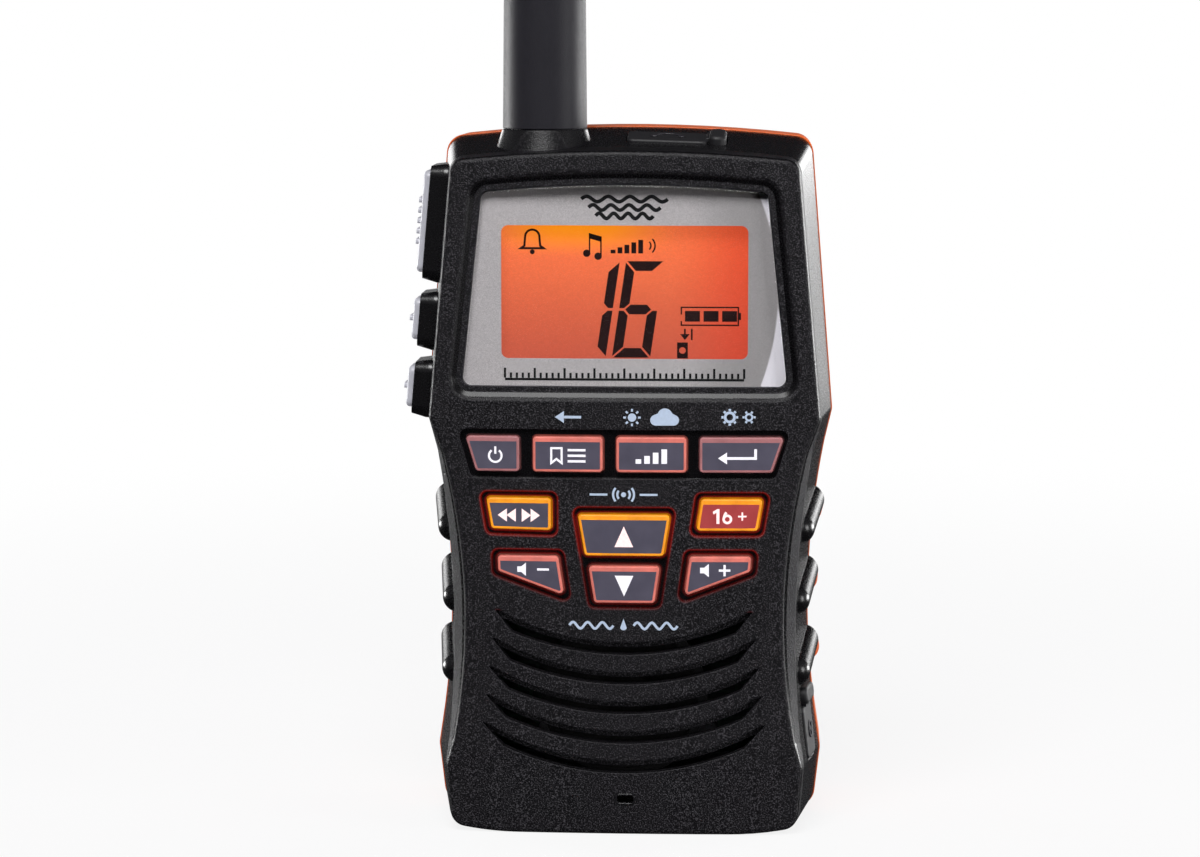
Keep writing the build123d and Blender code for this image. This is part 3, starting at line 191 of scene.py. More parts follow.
class Finish(Nodes):
    """A material being made, with its Principled shader."""

    def __init__(self, name, **sockets):
        self.material = bpy.data.materials.new(name)
        self.material.use_nodes = True
        super().__init__(self.material.node_tree, "Object")
        self.shader = self.tree.nodes["Principled BSDF"]
        for socket, value in sockets.items():
            self.join(value, self.shader.inputs[socket.replace("_", " ")])

    def edges(self, radius):
        """The normal with its edges rounded, and where those edges are, from 0 to 1."""
        rounded = self.add("ShaderNodeBevel", {"samples": 6}, Radius=radius * MM).outputs[0]
        flat = self.add("ShaderNodeNewGeometry").outputs["Normal"]
        product = self.add("ShaderNodeVectorMath", {"operation": "DOT_PRODUCT"})
        self.join(rounded, product.inputs[0])
        self.join(flat, product.inputs[1])
        return rounded, self.ramp(product.outputs["Value"], *EDGE_TURN)

    def relief(self, height, depth, normal=None):
        """Raises the surface by the height's value times a depth in millimetres."""
        bump = self.add("ShaderNodeBump", Height=height, Distance=depth * MM)
        if normal is not None:
            self.join(normal, bump.inputs["Normal"])
        self.join(bump.outputs[0], self.shader.inputs["Normal"])

    def fill(self, socket, value):
        """Fills one of the shader's sockets; a tuple is a colour out of 255."""
        self.join(linear(value) if isinstance(value, tuple) else value, self.shader.inputs[socket])

    def paint(self, colour):
        self.fill("Base Color", colour)

    def rough(self, value):
        self.fill("Roughness", value)

    def shine(self, colour, strength):
        """Light that the surface gives by itself."""
        self.fill("Emission Color", colour)
        self.fill("Emission Strength", strength)

    def blend(self, share, shader):
        """Shows another shader in place of this one, by a share."""
        both = self.add("ShaderNodeMixShader")
        for value, socket in zip((share, self.shader.outputs[0], shader), both.inputs):
            self.join(value, socket)
        self.join(both.outputs[0], self.tree.nodes["Material Output"].inputs["Surface"])


def grained(name, colour, rough, grain, depth, mottle=0.10, edge=0.25, wear=1.5, **sockets):
    """Moulded plastic or rubber: fine grain, faint cloudiness, and edges rubbed a little lighter."""
    finish = Finish(name, **sockets)
    fine = finish.noise(grain, 3.0)
    cloud = finish.noise(grain * CLOUD_SIZE, 3.0)
    rounded, wear_and_sheen = finish.edges(edge)
    plain = finish.mix(cloud, shade(colour, 1 - mottle), shade(colour, 1 + mottle))
    finish.paint(finish.mix(finish.math("MULTIPLY", wear_and_sheen, 0.6), plain, shade(colour, wear)))
    rub = finish.math("MULTIPLY", wear_and_sheen, 0.10)
    finish.rough(finish.math("SUBTRACT", finish.uneven(fine, rough - 0.07, rough + 0.07), rub))
    finish.relief(fine, depth, rounded)
    return finish


def sunk_depth(finish):
    """How far a point lies under the face's crown, in metres."""
    x, y, _ = finish.split()
    axis = finish.math("SUBTRACT", y, CROWN_AXIS * MM)
    return finish.math("SUBTRACT", CROWN_RADIUS * MM, finish.distance(x, axis))


# Where the front shell changes, as pairs of places between which one look turns into the next.
GLOSS_TOP = (114.2, 115.6)  # heights at which the sloped top starts to shine
WALL_EDGE = (-17.2, -16.4)  # the side walls start here
FACE_BACK = (-16.5, -18.5)  # recesses count only in front of this
RECESS = (0.12, 0.5)  # depths under the crown at which recesses and bevels turn glossy
RIM_DEPTH = (0.88, 0.86)  # the flat rim round the window, deeper than that, is pebbled again
HALO_DEPTH = (0.02, 0.06)  # the keys' glow is stronger on what lies deeper than that
GLOW_HALF, GLOW_SIDE_FADE = 24.4, 0.3  # the lit keys' field: half its width,
GLOW_LOW, GLOW_TOP, GLOW_END_FADE = 38.4, 58.6, 0.4  # and its lowest and highest places
GLOW_FADE = (46.0, 49.0)  # the glow is fainter below these heights
PEBBLE_SIZE, PEBBLE_RELIEF = 0.23, 0.13
GLINT_SHARE = (0.48, 0.72)  # the pebbles' noise between plain plastic and a painted glint


def face_housing():
    """Black front shell: pebbled face, painted glints, smoother walls, bevels, recesses, a painted red glow at the
    keys.
    """
    finish = Finish("moulded_black")
    x, y, z = finish.split()
    pebble = finish.noise(PEBBLE_SIZE, 1.0)
    cloud = finish.noise(14.0, 4.0)
    rounded, wear_and_sheen = finish.edges(0.3)
    above = finish.span(z, *GLOSS_TOP, 0.0, 0.6)
    depth = sunk_depth(finish)
    sunk = finish.math("MULTIPLY", finish.span(depth, *RECESS), finish.span(y, *FACE_BACK))
    sunk = finish.math("MULTIPLY", sunk, finish.span(depth, *RIM_DEPTH))
    wall = finish.span(y, *WALL_EDGE)
    smooth = finish.math("MAXIMUM", finish.math("MAXIMUM", above, sunk), wall)
    plain = finish.mix(cloud, shade(BLACK_PLASTIC, 0.86), shade(BLACK_PLASTIC, 1.14))
    # painted glints on the pebbles' tops
    glinted = finish.mix(finish.ramp(pebble, *GLINT_SHARE), plain, GLINT_GREY)
    dark = finish.mix(smooth, glinted, BLACK_GLOSS)
    # edges painted lighter: wear, and a painted highlight along them
    finish.paint(finish.mix(finish.math("MULTIPLY", wear_and_sheen, 0.3), dark, shade(BLACK_PLASTIC, 3.0)))
    grit = finish.uneven(pebble, -0.09, 0.09)
    grit = finish.math("MULTIPLY", grit, finish.ramp(smooth, 0, 1, 1.0, 0.1))
    finish.rough(finish.math("ADD", grit, finish.ramp(smooth, 0, 1, 0.43, 0.27)))
    finish.fill("Specular IOR Level", finish.ramp(wall, 0, 1, 0.25, 0.6))
    pebble_height = finish.math("MULTIPLY", pebble, finish.ramp(smooth, 0, 1, 1.0, 0.06))
    finish.relief(pebble_height, PEBBLE_RELIEF, rounded)
    # painted light: the keys' red light on the shell round them, given as the shell's own glow
    _, halo = finish.edges(0.8)
    halo = finish.math("MULTIPLY", halo, finish.span(depth, *HALO_DEPTH, 0.15, 0.6))
    halo = finish.math("MAXIMUM", halo, finish.math("MULTIPLY", wear_and_sheen, 0.8))
    lit = finish.math("MULTIPLY", halo, finish.within(x, -GLOW_HALF, GLOW_HALF, GLOW_SIDE_FADE))
    lit = finish.math("MULTIPLY", lit, finish.within(z, GLOW_LOW, GLOW_TOP, GLOW_END_FADE))
    strength = finish.span(z, *GLOW_FADE, 0.35, 1.0)
    finish.shine(GLOW_RED, finish.math("MULTIPLY", lit, strength))
    return finish


REFLECTION_CENTRE = (-17.6, 91.6)  # of the circles that shape the reflection painted on the silver behind the window
REFLECTION_SHADE = (29.0, 40.0)  # radii at which painted shade darkens the silver towards the painted reflection,
REFLECTION_EDGE = (43.0, 43.35)  # at which the painted reflection starts,
REFLECTION_FADE = (43.5, 52.0)  # and at which it fades


def silver_print():
    """Silver ink behind the window: fine metal flake, and a painted reflection, with painted shade, down its right
    side.
    """
    finish = Finish("silver_print", Metallic=0.2, Roughness=0.42)
    x, _, z = finish.split()
    flake = finish.specks(0.10)
    across = finish.math("SUBTRACT", x, REFLECTION_CENTRE[0] * MM)
    up = finish.math("SUBTRACT", z, REFLECTION_CENTRE[1] * MM)
    reach = finish.distance(across, up)
    reflection = finish.span(reach, *REFLECTION_EDGE)
    fade = finish.span(reach, *REFLECTION_FADE, 1.0, 0.55)
    grey = finish.mix(flake, shade(MASK_SILVER, 0.90), shade(MASK_SILVER, 1.05))
    # painted shade on the silver towards the painted reflection
    grey = finish.mix(finish.span(reach, *REFLECTION_SHADE, 0.0, 0.6), grey, shade(MASK_SILVER, 0.78))
    # a painted reflection: a light crescent down the silver's right side
    finish.paint(finish.mix(finish.math("MULTIPLY", reflection, fade), grey, MASK_REFLECTION))
    finish.relief(flake, 0.01)
    return finish


LCD_FOOT, LCD_HEAD = 0.14, 0.20  # strips of the mask under and over the display, as shares of its height
LAMP_LEFT = 8.0  # the brightest spot behind the display, left of the middle,
LAMP_SIDES, LAMP_DOWN = (18.0, 3.0), 6.0  # and how far it shows to its sides and down
RED_SIDE = (6.0, 21.0)  # places between which the display turns redder


def lit_display():
    """Backlit LCD: yellow behind the top's left half, orange in the middle, redder right and down."""
    finish = Finish("lit_display", Roughness=0.28)
    x, _, z = finish.split()
    grain = finish.noise(0.25, 2.0)
    low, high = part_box("window_mask")
    foot, crest = low.z + LCD_FOOT * (high.z - low.z), high.z - LCD_HEAD * (high.z - low.z)
    body = finish.mix(finish.ramp(z, crest, foot, smooth=False), LCD_UPPER, LCD_LOWER)
    beside_lamp = finish.math("ABSOLUTE", finish.math("ADD", x, LAMP_LEFT * MM))
    beside_lamp = finish.span(beside_lamp, *LAMP_SIDES)
    lamp = finish.math("MULTIPLY", beside_lamp, finish.ramp(z, crest - LAMP_DOWN * MM, crest))
    body = finish.mix(lamp, body, LCD_CREST)
    body = finish.mix(finish.span(x, *RED_SIDE, 0.0, 0.75), body, LCD_SIDE)
    body = finish.mix(finish.ramp(z, crest, foot, 0.0, 0.3), body, LCD_SHADE)
    finish.shine(body, 0.92)
    finish.paint(finish.mix(finish.uneven(grain, 0.55, 0.7), body, LCD_INK))
    finish.relief(grain, 0.004)
    return finish


def clear_window():
    """Clear moulded window that lets the lamps through to what lies behind it."""
    finish = Finish("clear_window", Transmission_Weight=1.0, IOR=1.40, Roughness=0.03)
    haze = finish.noise(6.0, 4.0)
    scratches = finish.noise(0.8, 2.0, (1, 1, 0.04))
    finish.rough(finish.ramp(haze, 0.4, 0.7, 0.02, 0.06))
    finish.relief(scratches, 0.002)
    finish.paint(WINDOW_CLEAR)
    shadows = finish.add("ShaderNodeLightPath").outputs["Is Shadow Ray"]
    finish.blend(shadows, finish.add("ShaderNodeBsdfTransparent").outputs[0])
    return finish


RUBBER_RADII = (0.001, 0.0004, 0.0003)  # of red, green and blue light, as the shader takes them


def lit_rubber(name, colour, strength):
    """Translucent rubber lit from behind, a little unevenly."""
    finish = Finish(name, Roughness=0.42, Subsurface_Weight=0.15, Subsurface_Radius=RUBBER_RADII)
    glow = finish.noise(2.4, 3.0)
    fine = finish.noise(0.2, 2.0)
    body = finish.mix(glow, shade(colour, 0.86), shade(colour, 1.1))
    finish.paint(body)
    finish.shine(body, finish.ramp(glow, 0.25, 0.75, strength * 0.8, strength * 1.2))
    rounded, _ = finish.edges(0.2)
    finish.relief(fine, 0.01, rounded)
    return finish


def printed(name, colour, strength=0.0):
    """Printed ink: slightly uneven, and lit from behind where the key shines through it."""
    finish = Finish(name, Roughness=0.5, Specular_IOR_Level=0.2)
    patchy = finish.noise(0.5, 3.0)
    body = finish.mix(patchy, shade(colour, 0.94), shade(colour, 1.04))
    finish.paint(body)
    if strength:
        finish.shine(body, strength)
    finish.relief(patchy, 0.004)
    return finish


def key_ink(name, colour):
    """Dark ink on a key's face, satin and faintly dusty."""
    finish = Finish(name)
    fine = finish.noise(0.18, 3.0)
    dust = finish.noise(3.0, 4.0)
    finish.paint(finish.mix(dust, shade(colour, 0.90), shade(colour, 1.12)))
    finish.rough(finish.uneven(dust, 0.34, 0.46))
    finish.relief(fine, 0.008)
    return finish


def metal(name, colour, rough=0.3, stretch=(1, 1, 1)):
    """Machined or rolled metal with fine tool marks and a little tarnish."""
    finish = Finish(name, Metallic=1.0)
    marks = finish.noise(0.15, 3.0, stretch)
    tarnish = finish.noise(4.0, 4.0)
    finish.paint(finish.mix(tarnish, shade(colour, 0.82), shade(colour, 1.06)))
    finish.rough(finish.uneven(marks, rough - 0.06, rough + 0.10))
    rounded, _ = finish.edges(0.15)
    finish.relief(marks, 0.01, rounded)
    return finish


def circuit_board():
    """Green solder mask with copper traces just showing through it."""
    finish = Finish("circuit_board", Roughness=0.3, Coat_Weight=0.3)
    place = finish.add("ShaderNodeMapping", Vector=finish.place, Rotation=(radians(90), 0, 0)).outputs[0]
    settings = {"offset": 0.35, "squash": 1.6}
    traces = finish.add("ShaderNodeTexBrick", settings, Vector=place, Scale=160.0, Mortar_Size=0.05)
    lines = traces.outputs["Fac"]
    dirt = finish.noise(3.0, 4.0)
    green = finish.mix(dirt, BOARD_DARK, BOARD_GREEN)
    finish.paint(finish.mix(lines, green, BOARD_TRACE))
    finish.relief(lines, 0.03)
    return finish


SHOULDER_START, SHOULDER_END = 0.30, 0.28  # from the cells' top down, as shares of their height


def cell_sleeve():
    """Printed metal sleeve of the cells, with a copper-coloured shoulder."""
    finish = Finish("cell_sleeve", Metallic=0.6, Roughness=0.32)
    _, _, z = finish.split()
    low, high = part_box("battery_cells")
    tall = high.z - low.z
    shoulder = finish.ramp(z, high.z - SHOULDER_START * tall, high.z - SHOULDER_END * tall)
    scuff = finish.noise(1.6, 4.0)
    body = finish.mix(scuff, SLEEVE_DARK, SLEEVE_LIGHT)
    finish.paint(finish.mix(shoulder, body, SLEEVE_COPPER))
    finish.relief(scuff, 0.01)
    return finish


SHADOW_REACH = (150.0, 500.0)  # distances from the radio over which its shadow on the floor fades out
WHITE_FLOOR = (620.0, 780.0)  # mirrored rays see a dark floor in front of this and a white one behind


def stage_finish(name, colour):
    """Matt pale paper: the camera sees it nearly white, and so do reflections of what lies behind."""
    finish = Finish(name, Roughness=0.9)
    fibre = finish.noise(1.5, 3.0)
    finish.paint(finish.mix(fibre, shade(colour, 0.985), colour))
    camera, mirrored = finish.sight()
    away = finish.add("ShaderNodeVectorMath", {"operation": "LENGTH"}, Vector=finish.place).outputs["Value"]
    plain = finish.math("MULTIPLY", camera, finish.span(away, *SHADOW_REACH, 0.85, 1.0))
    behind = finish.mix(finish.span(finish.split()[1], *WHITE_FLOOR), STUDIO_FLOOR, WHITE)
    paper = finish.add("ShaderNodeEmission", Color=finish.mix(camera, behind, WHITE)).outputs[0]
    finish.blend(finish.math("MAXIMUM", plain, mirrored), paper)
    return finish


# ---------------------------------------------------------------- flat shapes, each a list of closed loops
def points(*pairs):
    return [Vector(pair) for pair in pairs]


def arc(centre, radius, start, end, steps=24):
    """Points along an arc; the angles are in degrees, anticlockwise from the right."""
    spans = [radians(start + (end - start) * step / steps) for step in range(steps + 1)]
    return [Vector((centre[0] + radius * cos(a), centre[1] + radius * sin(a))) for a in spans]


def disc(centre, radius):
    return [arc(centre, radius, 0, 360)[:-1]]


def ring(centre, radius, width):
    return disc(centre, radius) + disc(centre, radius - width)


def block(low, high):
    return [points(low, (high[0], low[1]), high, (low[0], high[1]))]


SHARPEST = 0.3  # keeps a sharp corner's mitre short


def beside(line, amount, closed=False):
    """A line's points moved to its left, its corners mitred."""
    moved = []
    for index, point in enumerate(line):
        ways = []
        if index or closed:
            ways.append((point - line[index - 1]).normalized())
        if index < len(line) - 1 or closed:
            ways.append((line[(index + 1) % len(line)] - point).normalized())
        lefts = [Vector((-way.y, way.x)) for way in ways]
        middle = sum(lefts, Vector((0, 0))).normalized()
        moved.append(point + middle * amount / max(middle.dot(lefts[0]), SHARPEST))
    return moved


def band(line, width):
    """A strip of even width along an open line."""
    return [beside(line, width / 2) + beside(line, -width / 2)[::-1]]


def frame_of(line, width):
    """A strip of even width round a closed line."""
    return [beside(line, width / 2, True), beside(line, -width / 2, True)]


def rounded_block(centre, width, height, radius, grow=0.0):
    """A rectangle with rounded corners, grown all round."""
    loop = []
    for quarter, ways in enumerate(((1, 1), (-1, 1), (-1, -1), (1, -1))):
        corner = (centre[0] + ways[0] * (width / 2 - radius), centre[1] + ways[1] * (height / 2 - radius))
        loop += arc(corner, radius + grow, 90 * quarter, 90 * quarter + 90, 6)
    return loop


def moved(shapes, x, z, scale=1.0):
    """The shapes scaled about their own origin and then shifted."""
    return [[[Vector((x, z)) + point * scale for point in loop] for loop in loops] for loops in shapes]


def spokes(count, inner, outer, width):
    """Short bars round the origin."""
    bars = []
    for index in range(count):
        turn = radians(360 * index / count)
        way = Vector((cos(turn), sin(turn)))
        bars.append(band([way * inner, way * outer], width))
    return bars


def wave(length, height, periods, width):
    """A wavy strip about the origin."""
    steps = 12 * periods
    line = [
        Vector((length * (step / steps - 0.5), height / 2 * sin(radians(360 * periods * step / steps))))
        for step in range(steps + 1)
    ]
    return band(line, width)


def triangle(tip, base_middle, half):
    """A triangle from its tip to the middle of its base."""
    tip, base = Vector(tip), Vector(base_middle)
    way = (tip - base).normalized()
    side = Vector((-way.y, way.x)) * half
    return [[tip, base + side, base - side]]


# The legends, each drawn 2 to 3 mm high round its own origin.
speaker = [points((-1.2, -0.42), (-0.6, -0.42), (0.1, -1.0), (0.1, 1.0), (-0.6, 0.42), (-1.2, 0.42))]
digit_one = points(
    (-0.55, 0.62), (0.05, 1.0), (0.35, 1.0), (0.35, -1.0), (-0.05, -1.0), (-0.05, 0.52), (-0.45, 0.28)
)
digit_six = [ring((0, -0.38), 0.66, 0.34), band(arc((0.95, -0.38), 1.42, 139, 178, 10), 0.34)]
plus = points(
    (-0.7, -0.14), (-0.14, -0.14), (-0.14, -0.7), (0.14, -0.7), (0.14, -0.14), (0.7, -0.14),
    (0.7, 0.14), (0.14, 0.14), (0.14, 0.7), (-0.14, 0.7), (-0.14, 0.14), (-0.7, 0.14),
)
drop = arc((0, -0.25), 0.62, 205, 335) + points((0, 1.1))
bookmark = points((-2.2, -1.0), (-1.5, -0.45), (-0.8, -1.0), (-0.8, 1.0), (-2.2, 1.0))
stair_places = (-2.1, -0.95, 0.2, 1.35)

key_legends = {
    "key_power": [band(arc((0, -0.1), 0.85, 125, 415), 0.28), block((-0.14, 0.15), (0.14, 1.15))],
    "key_memory": [frame_of(bookmark, 0.28)]
    + [block((0.0, z - 0.16), (2.4, z + 0.16)) for z in (-0.75, 0, 0.75)],
    "key_output": [block((x, -1.0), (x + 0.75, -0.4 + 0.45 * step)) for step, x in enumerate(stair_places)],
    "key_enter": [
        band(points((2.5, 1.0), (2.5, -0.25), (-1.4, -0.25)), 0.36),
        triangle((-2.5, -0.25), (-1.3, -0.25), 0.8),
    ],
    "key_scan": [triangle((way * (x + 1.25), 0), (way * x, 0), 0.9) for way in (-1, 1) for x in (0.4, 1.6)],
    "key_priority": moved([[digit_one]], -1.7, 0)
    + moved(digit_six, -0.3, 0)
    + moved([[plus]], 1.7, 0, 0.8),
    "key_up": [triangle((0, 1.4), (0, -1.4), 1.25)],
    "key_down": [triangle((0, -1.4), (0, 1.4), 1.25)],
    "key_volume_down": moved([speaker], -1.0, 0, 0.9) + [block((0.6, -0.15), (2.2, 0.15))],
    "key_volume_up": moved([speaker], -1.0, 0, 0.9) + moved([[plus]], 1.2, 0, 1.1),
}
LEGEND_SCALE = 1.25
legend_shift = {  # off the middle of the key, to the right and up
    "key_power": (0.4, 0),
    "key_volume_down": (0.4, 1.1),
    "key_volume_up": (-0.4, 1.1),
    "key_enter": (-0.7, 0),
}
amber_keys = ("key_scan", "key_priority", "key_up")
dim_keys = ("key_power", "key_enter")

# The labels on the face: a row of signs over the keys, a beacon among them, and waves over the speaker.
SIGN_ROW, BEACON_ROW, DROP_ROW, WAVE_ROW = 71.0, 58.0, 35.9, 35.8
GEAR_ROW = SIGN_ROW + 0.1
arrow = [band(points((2.1, 0), (-0.8, 0)), 0.44), triangle((-2.3, 0), (-0.8, 0), 1.0)]
sun = [disc((0, 0), 0.7), *spokes(8, 1.0, 1.45, 0.34)]
cloud = arc((1.2, -0.35), 0.75, -90, 75, 10)
cloud += arc((0, 0.25), 1.05, 20, 160, 14)
cloud += arc((-1.3, -0.35), 0.75, 120, 270, 10)
large_gear = [ring((0, 0), 1.0, 0.45), *spokes(8, 1.04, 1.4, 0.42)]
small_gear = [ring((0, 0), 0.7, 0.32), *spokes(6, 0.74, 1.1, 0.36)]
beacon = [
    band(arc((0, BEACON_ROW), radius, turn - 40, turn + 40, 12), 0.36)
    for radius in (1.05, 1.75)
    for turn in (0, 180)
]
dashes = [
    block((way * 4.2 - 1.5, BEACON_ROW - 0.18), (way * 4.2 + 1.5, BEACON_ROW + 0.18)) for way in (-1, 1)
]
face_labels = (
    moved(arrow, -9.2, SIGN_ROW)
    + moved(sun, 1.4, SIGN_ROW)
    + moved([[cloud]], 6.9, SIGN_ROW, 1.2)
    + moved(large_gear, 17.7, GEAR_ROW)
    + moved(small_gear, 20.9, GEAR_ROW)
    + moved([disc((0, 0), 0.42)], 0, BEACON_ROW)
    + beacon
    + dashes
    + moved([[drop]], 0, DROP_ROW)
    + [moved([wave(7.4, 1.1, 3, 0.42)], way * 5.4, WAVE_ROW)[0] for way in (-1, 1)]
)

# The marks on the window's mask: three waves over the display, and a scale of 1 mm steps under it.
WAVES_TOP, WAVES_APART, WAVES_WIDTH, WAVES_NARROWER = 107.3, 1.4, 14.4, 2.4
mask_waves = [
    moved([wave(WAVES_WIDTH - WAVES_NARROWER * row, 0.9, 4, 0.62)], 0, WAVES_TOP - WAVES_APART * row)[0]
    for row in range(3)
]
SCALE_HALF, SCALE_LOW = 20, 77.3
mask_scale = [block((-SCALE_HALF, SCALE_LOW - 0.4), (SCALE_HALF, SCALE_LOW))] + [
    block((x - 0.19, SCALE_LOW + 0.02), (x + 0.19, SCALE_LOW + (0.9 if x % 5 else 1.7)))
    for x in range(-SCALE_HALF, SCALE_HALF + 1)
]

SEGMENT_GAP = 0.22  # between the segments of a digit


def lit_digit(corner, width, height, stroke, slant, lit):
    """The lit segments of a slanted seven-segment digit."""
    gap, half, half_stroke = SEGMENT_GAP, height / 2, stroke / 2
    inner_left, inner_right = stroke + gap, width - stroke - gap
    side = [
        (0, gap), (stroke, stroke + gap), (stroke, half - half_stroke - gap),
        (half_stroke, half - gap), (0, half - gap),
    ]
    top = [
        (gap, height), (width - gap, height),
        (inner_right, height - stroke), (inner_left, height - stroke),
    ]
    bar = [
        (gap + half_stroke, half), (inner_left, half + half_stroke), (inner_right, half + half_stroke),
        (width - gap - half_stroke, half),
        (inner_right, half - half_stroke), (inner_left, half - half_stroke),
    ]
    segments = {
        "a": top,
        "b": [(width - x, height - z) for x, z in side],
        "c": [(width - x, z) for x, z in side],
        "d": [(x, height - z) for x, z in top],
        "e": side,
        "f": [(x, height - z) for x, z in side],
        "g": bar,
    }
    return [
        [[Vector((corner[0] + x + slant * z, corner[1] + z)) for x, z in segments[name]]] for name in lit
    ]


# The display's marks, in places on the radio.
digit_size = {"width": 6.4, "height": 16.2, "stroke": 1.62, "slant": 0.147}
battery_line = points((9.4, 87.9), (9.4, 89.1), (18.9, 89.1), (18.9, 86.1), (9.4, 86.1), (9.4, 86.8))
battery = [band(battery_line, 0.24), block((19.0, 87.0), (19.35, 88.2))]
battery += [block((x, 86.7), (x + 2.5, 88.5)) for x in (10.0, 13.1, 16.2)]
pointer = [triangle((10.0, 83.6), (10.0, 84.6), 0.8), block((9.85, 84.5), (10.15, 85.5))]
pointer += [block((11.0, 83.6), (11.3, 85.5))]
dial = [block((8.7, 80.5), (10.5, 83.2)) + disc((9.6, 81.85), 0.55)]
bell_line = arc((0, 0.35), 1.0, 0, 180, 12) + points((-1.1, -0.9), (-1.6, -1.25), (1.6, -1.25), (1.1, -0.9))
bell = moved([frame_of(bell_line, 0.30), disc((0, -1.75), 0.34)], -15.5, 100.4, 1.2)
note = [disc((-6.4, 98.1), 0.62), disc((-4.5, 97.6), 0.62)]
note += [block((-6.05, 98.3), (-5.8, 101.5)), block((-4.15, 97.8), (-3.9, 100.9))]
note += [[points((-6.05, 101.5), (-3.9, 100.9), (-3.9, 100.0), (-6.05, 100.6))]]
loudness = [
    block((-2.4 + 1.15 * step, 98.1), (-1.6 + 1.15 * step, 98.7 + 0.42 * step)) for step in range(5)
]
loudness += [band(arc((3.4, 99.4), radius, -45, 45, 10), 0.26) for radius in (0.9, 1.6)]
channel = lit_digit((-9.65, 80.6), lit="bc", **digit_size)
channel += lit_digit((-2.2, 80.6), lit="acdefg", **digit_size)
display_marks = channel + battery + pointer + dial + bell + note + loudness


# ---------------------------------------------------------------- surfaces that thin pieces lie on
def on_face(x, z, height):
    """A point over the crowned face."""
    return Vector((x, CROWN_AXIS - sqrt((CROWN_RADIUS + height) ** 2 - x * x), z))


def on_display(x, z, height):
    return Vector((x, LCD_FRONT - height, z))


def on_mask(x, z, height):
    return Vector((x, MASK_FRONT - height, z))


def named(rows, name):
    return next(row for row in rows if row["name"] == name)


def on_flap(name):
    """The outside of a jack cover's flap: u runs from its tip to its hinge, and v across."""
    socket = named(frame["record"]["mounts"], f"{name}_socket")
    hinge = named(frame["joints"], f"{name}_flap_hinge")
    out, across = Vector(socket["axis"]), Vector(hinge["axis"])
    along = across.cross(out)
    start = Vector(socket["pos_m"]) / MM
    middle = start + out * (Vector(hinge["pos_m"]) / MM - start).dot(out)

    def place(u, v, height):
        return middle + along * u + across * v + out * height

    return place


def plate(name, shapes, surface, low, high, finish, body):
    """A thin solid: flat shapes laid over a surface between two heights, cut to follow its curve."""
    mesh = bmesh.new()
    for loops in shapes:
        corners = [[Vector((*point, 0)) for point in loop] for loop in loops]
        verts = [mesh.verts.new(point) for loop in corners for point in loop]
        for triple in tessellate_polygon(corners):
            mesh.faces.new([verts[index] for index in triple])
    left = min(vert.co.x for vert in mesh.verts)
    right = max(vert.co.x for vert in mesh.verts)
    for step in range(1, int((right - left) / COLUMN) + 1):
        everything = mesh.verts[:] + mesh.edges[:] + mesh.faces[:]
        cut = Vector((left + step * COLUMN, 0, 0))
        bmesh.ops.bisect_plane(mesh, geom=everything, plane_co=cut, plane_no=(1, 0, 0))
    bmesh.ops.recalc_face_normals(mesh, faces=mesh.faces)
    raised = bmesh.ops.extrude_face_region(mesh, geom=mesh.faces[:], use_keep_orig=True)["geom"]
    raised = {item for item in raised if isinstance(item, bmesh.types.BMVert)}
    for vert in mesh.verts:
        vert.co = surface(vert.co.x, vert.co.y, high if vert in raised else low) * MM
    bmesh.ops.recalc_face_normals(mesh, faces=mesh.faces)
    data = bpy.data.meshes.new(name)
    mesh.to_mesh(data)
    mesh.free()
    piece = bpy.data.objects.new(name, data)
    bpy.context.scene.collection.objects.link(piece)
    data.materials.append(finish.material)
    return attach(piece, body)


# ---------------------------------------------------------------- keys
TOP_RIM, SIDE_RIM = 0.72, 0.30  # lit border of a key, beyond its rounded edge
CORAL_GLOW, AMBER_GLOW, DIM_GLOW, GUIDE_GLOW = 0.18, 0.32, 0.08, 0.6  # strengths of the lit rubbers
WHITE_GLOW, PINK_GLOW = 0.35, 0.45  # and of the legends
CAP_SLACK = 0.03  # a point so near the cap's surface belongs to it


def cap_outline(name):
    """The flat top of a key as an anticlockwise outline, read from its CAD node."""
    reach = CROWN_RADIUS + KEY_PROUD
    tops = [vert.co / MM for vert in nodes[name].data.vertices]
    tops = [Vector((co.x, co.z)) for co in tops if abs(hypot(co.x, co.y - CROWN_AXIS) - reach) < CAP_SLACK]
    return [tops[index] for index in convex_hull_2d(tops)]


def clipped(outline, point, outward):
    """The part of a convex outline behind a line."""
    kept = []
    for start, end in zip(outline, outline[1:] + outline[:1]):
        before, after = (start - point).dot(outward), (end - point).dot(outward)
        if before <= 0:
            kept.append(start)
        if before * after < 0:
            kept.append(start.lerp(end, before / (before - after)))
    return kept


def inner_face(outline):
    """A key's outline inside its lit border, which is widest along the top."""
    inside = outline
    for start, end in zip(outline, outline[1:] + outline[:1]):
        along = (end - start).normalized()
        outward = Vector((along.y, -along.x))
        rim = SIDE_RIM + (TOP_RIM - SIDE_RIM) * max(outward.y, 0) ** 4
        inside = clipped(inside, start - outward * rim, outward)
    return inside


def middle_of(outline):
    xs, zs = [point.x for point in outline], [point.y for point in outline]
    return (min(xs) + max(xs)) / 2, (min(zs) + max(zs)) / 2


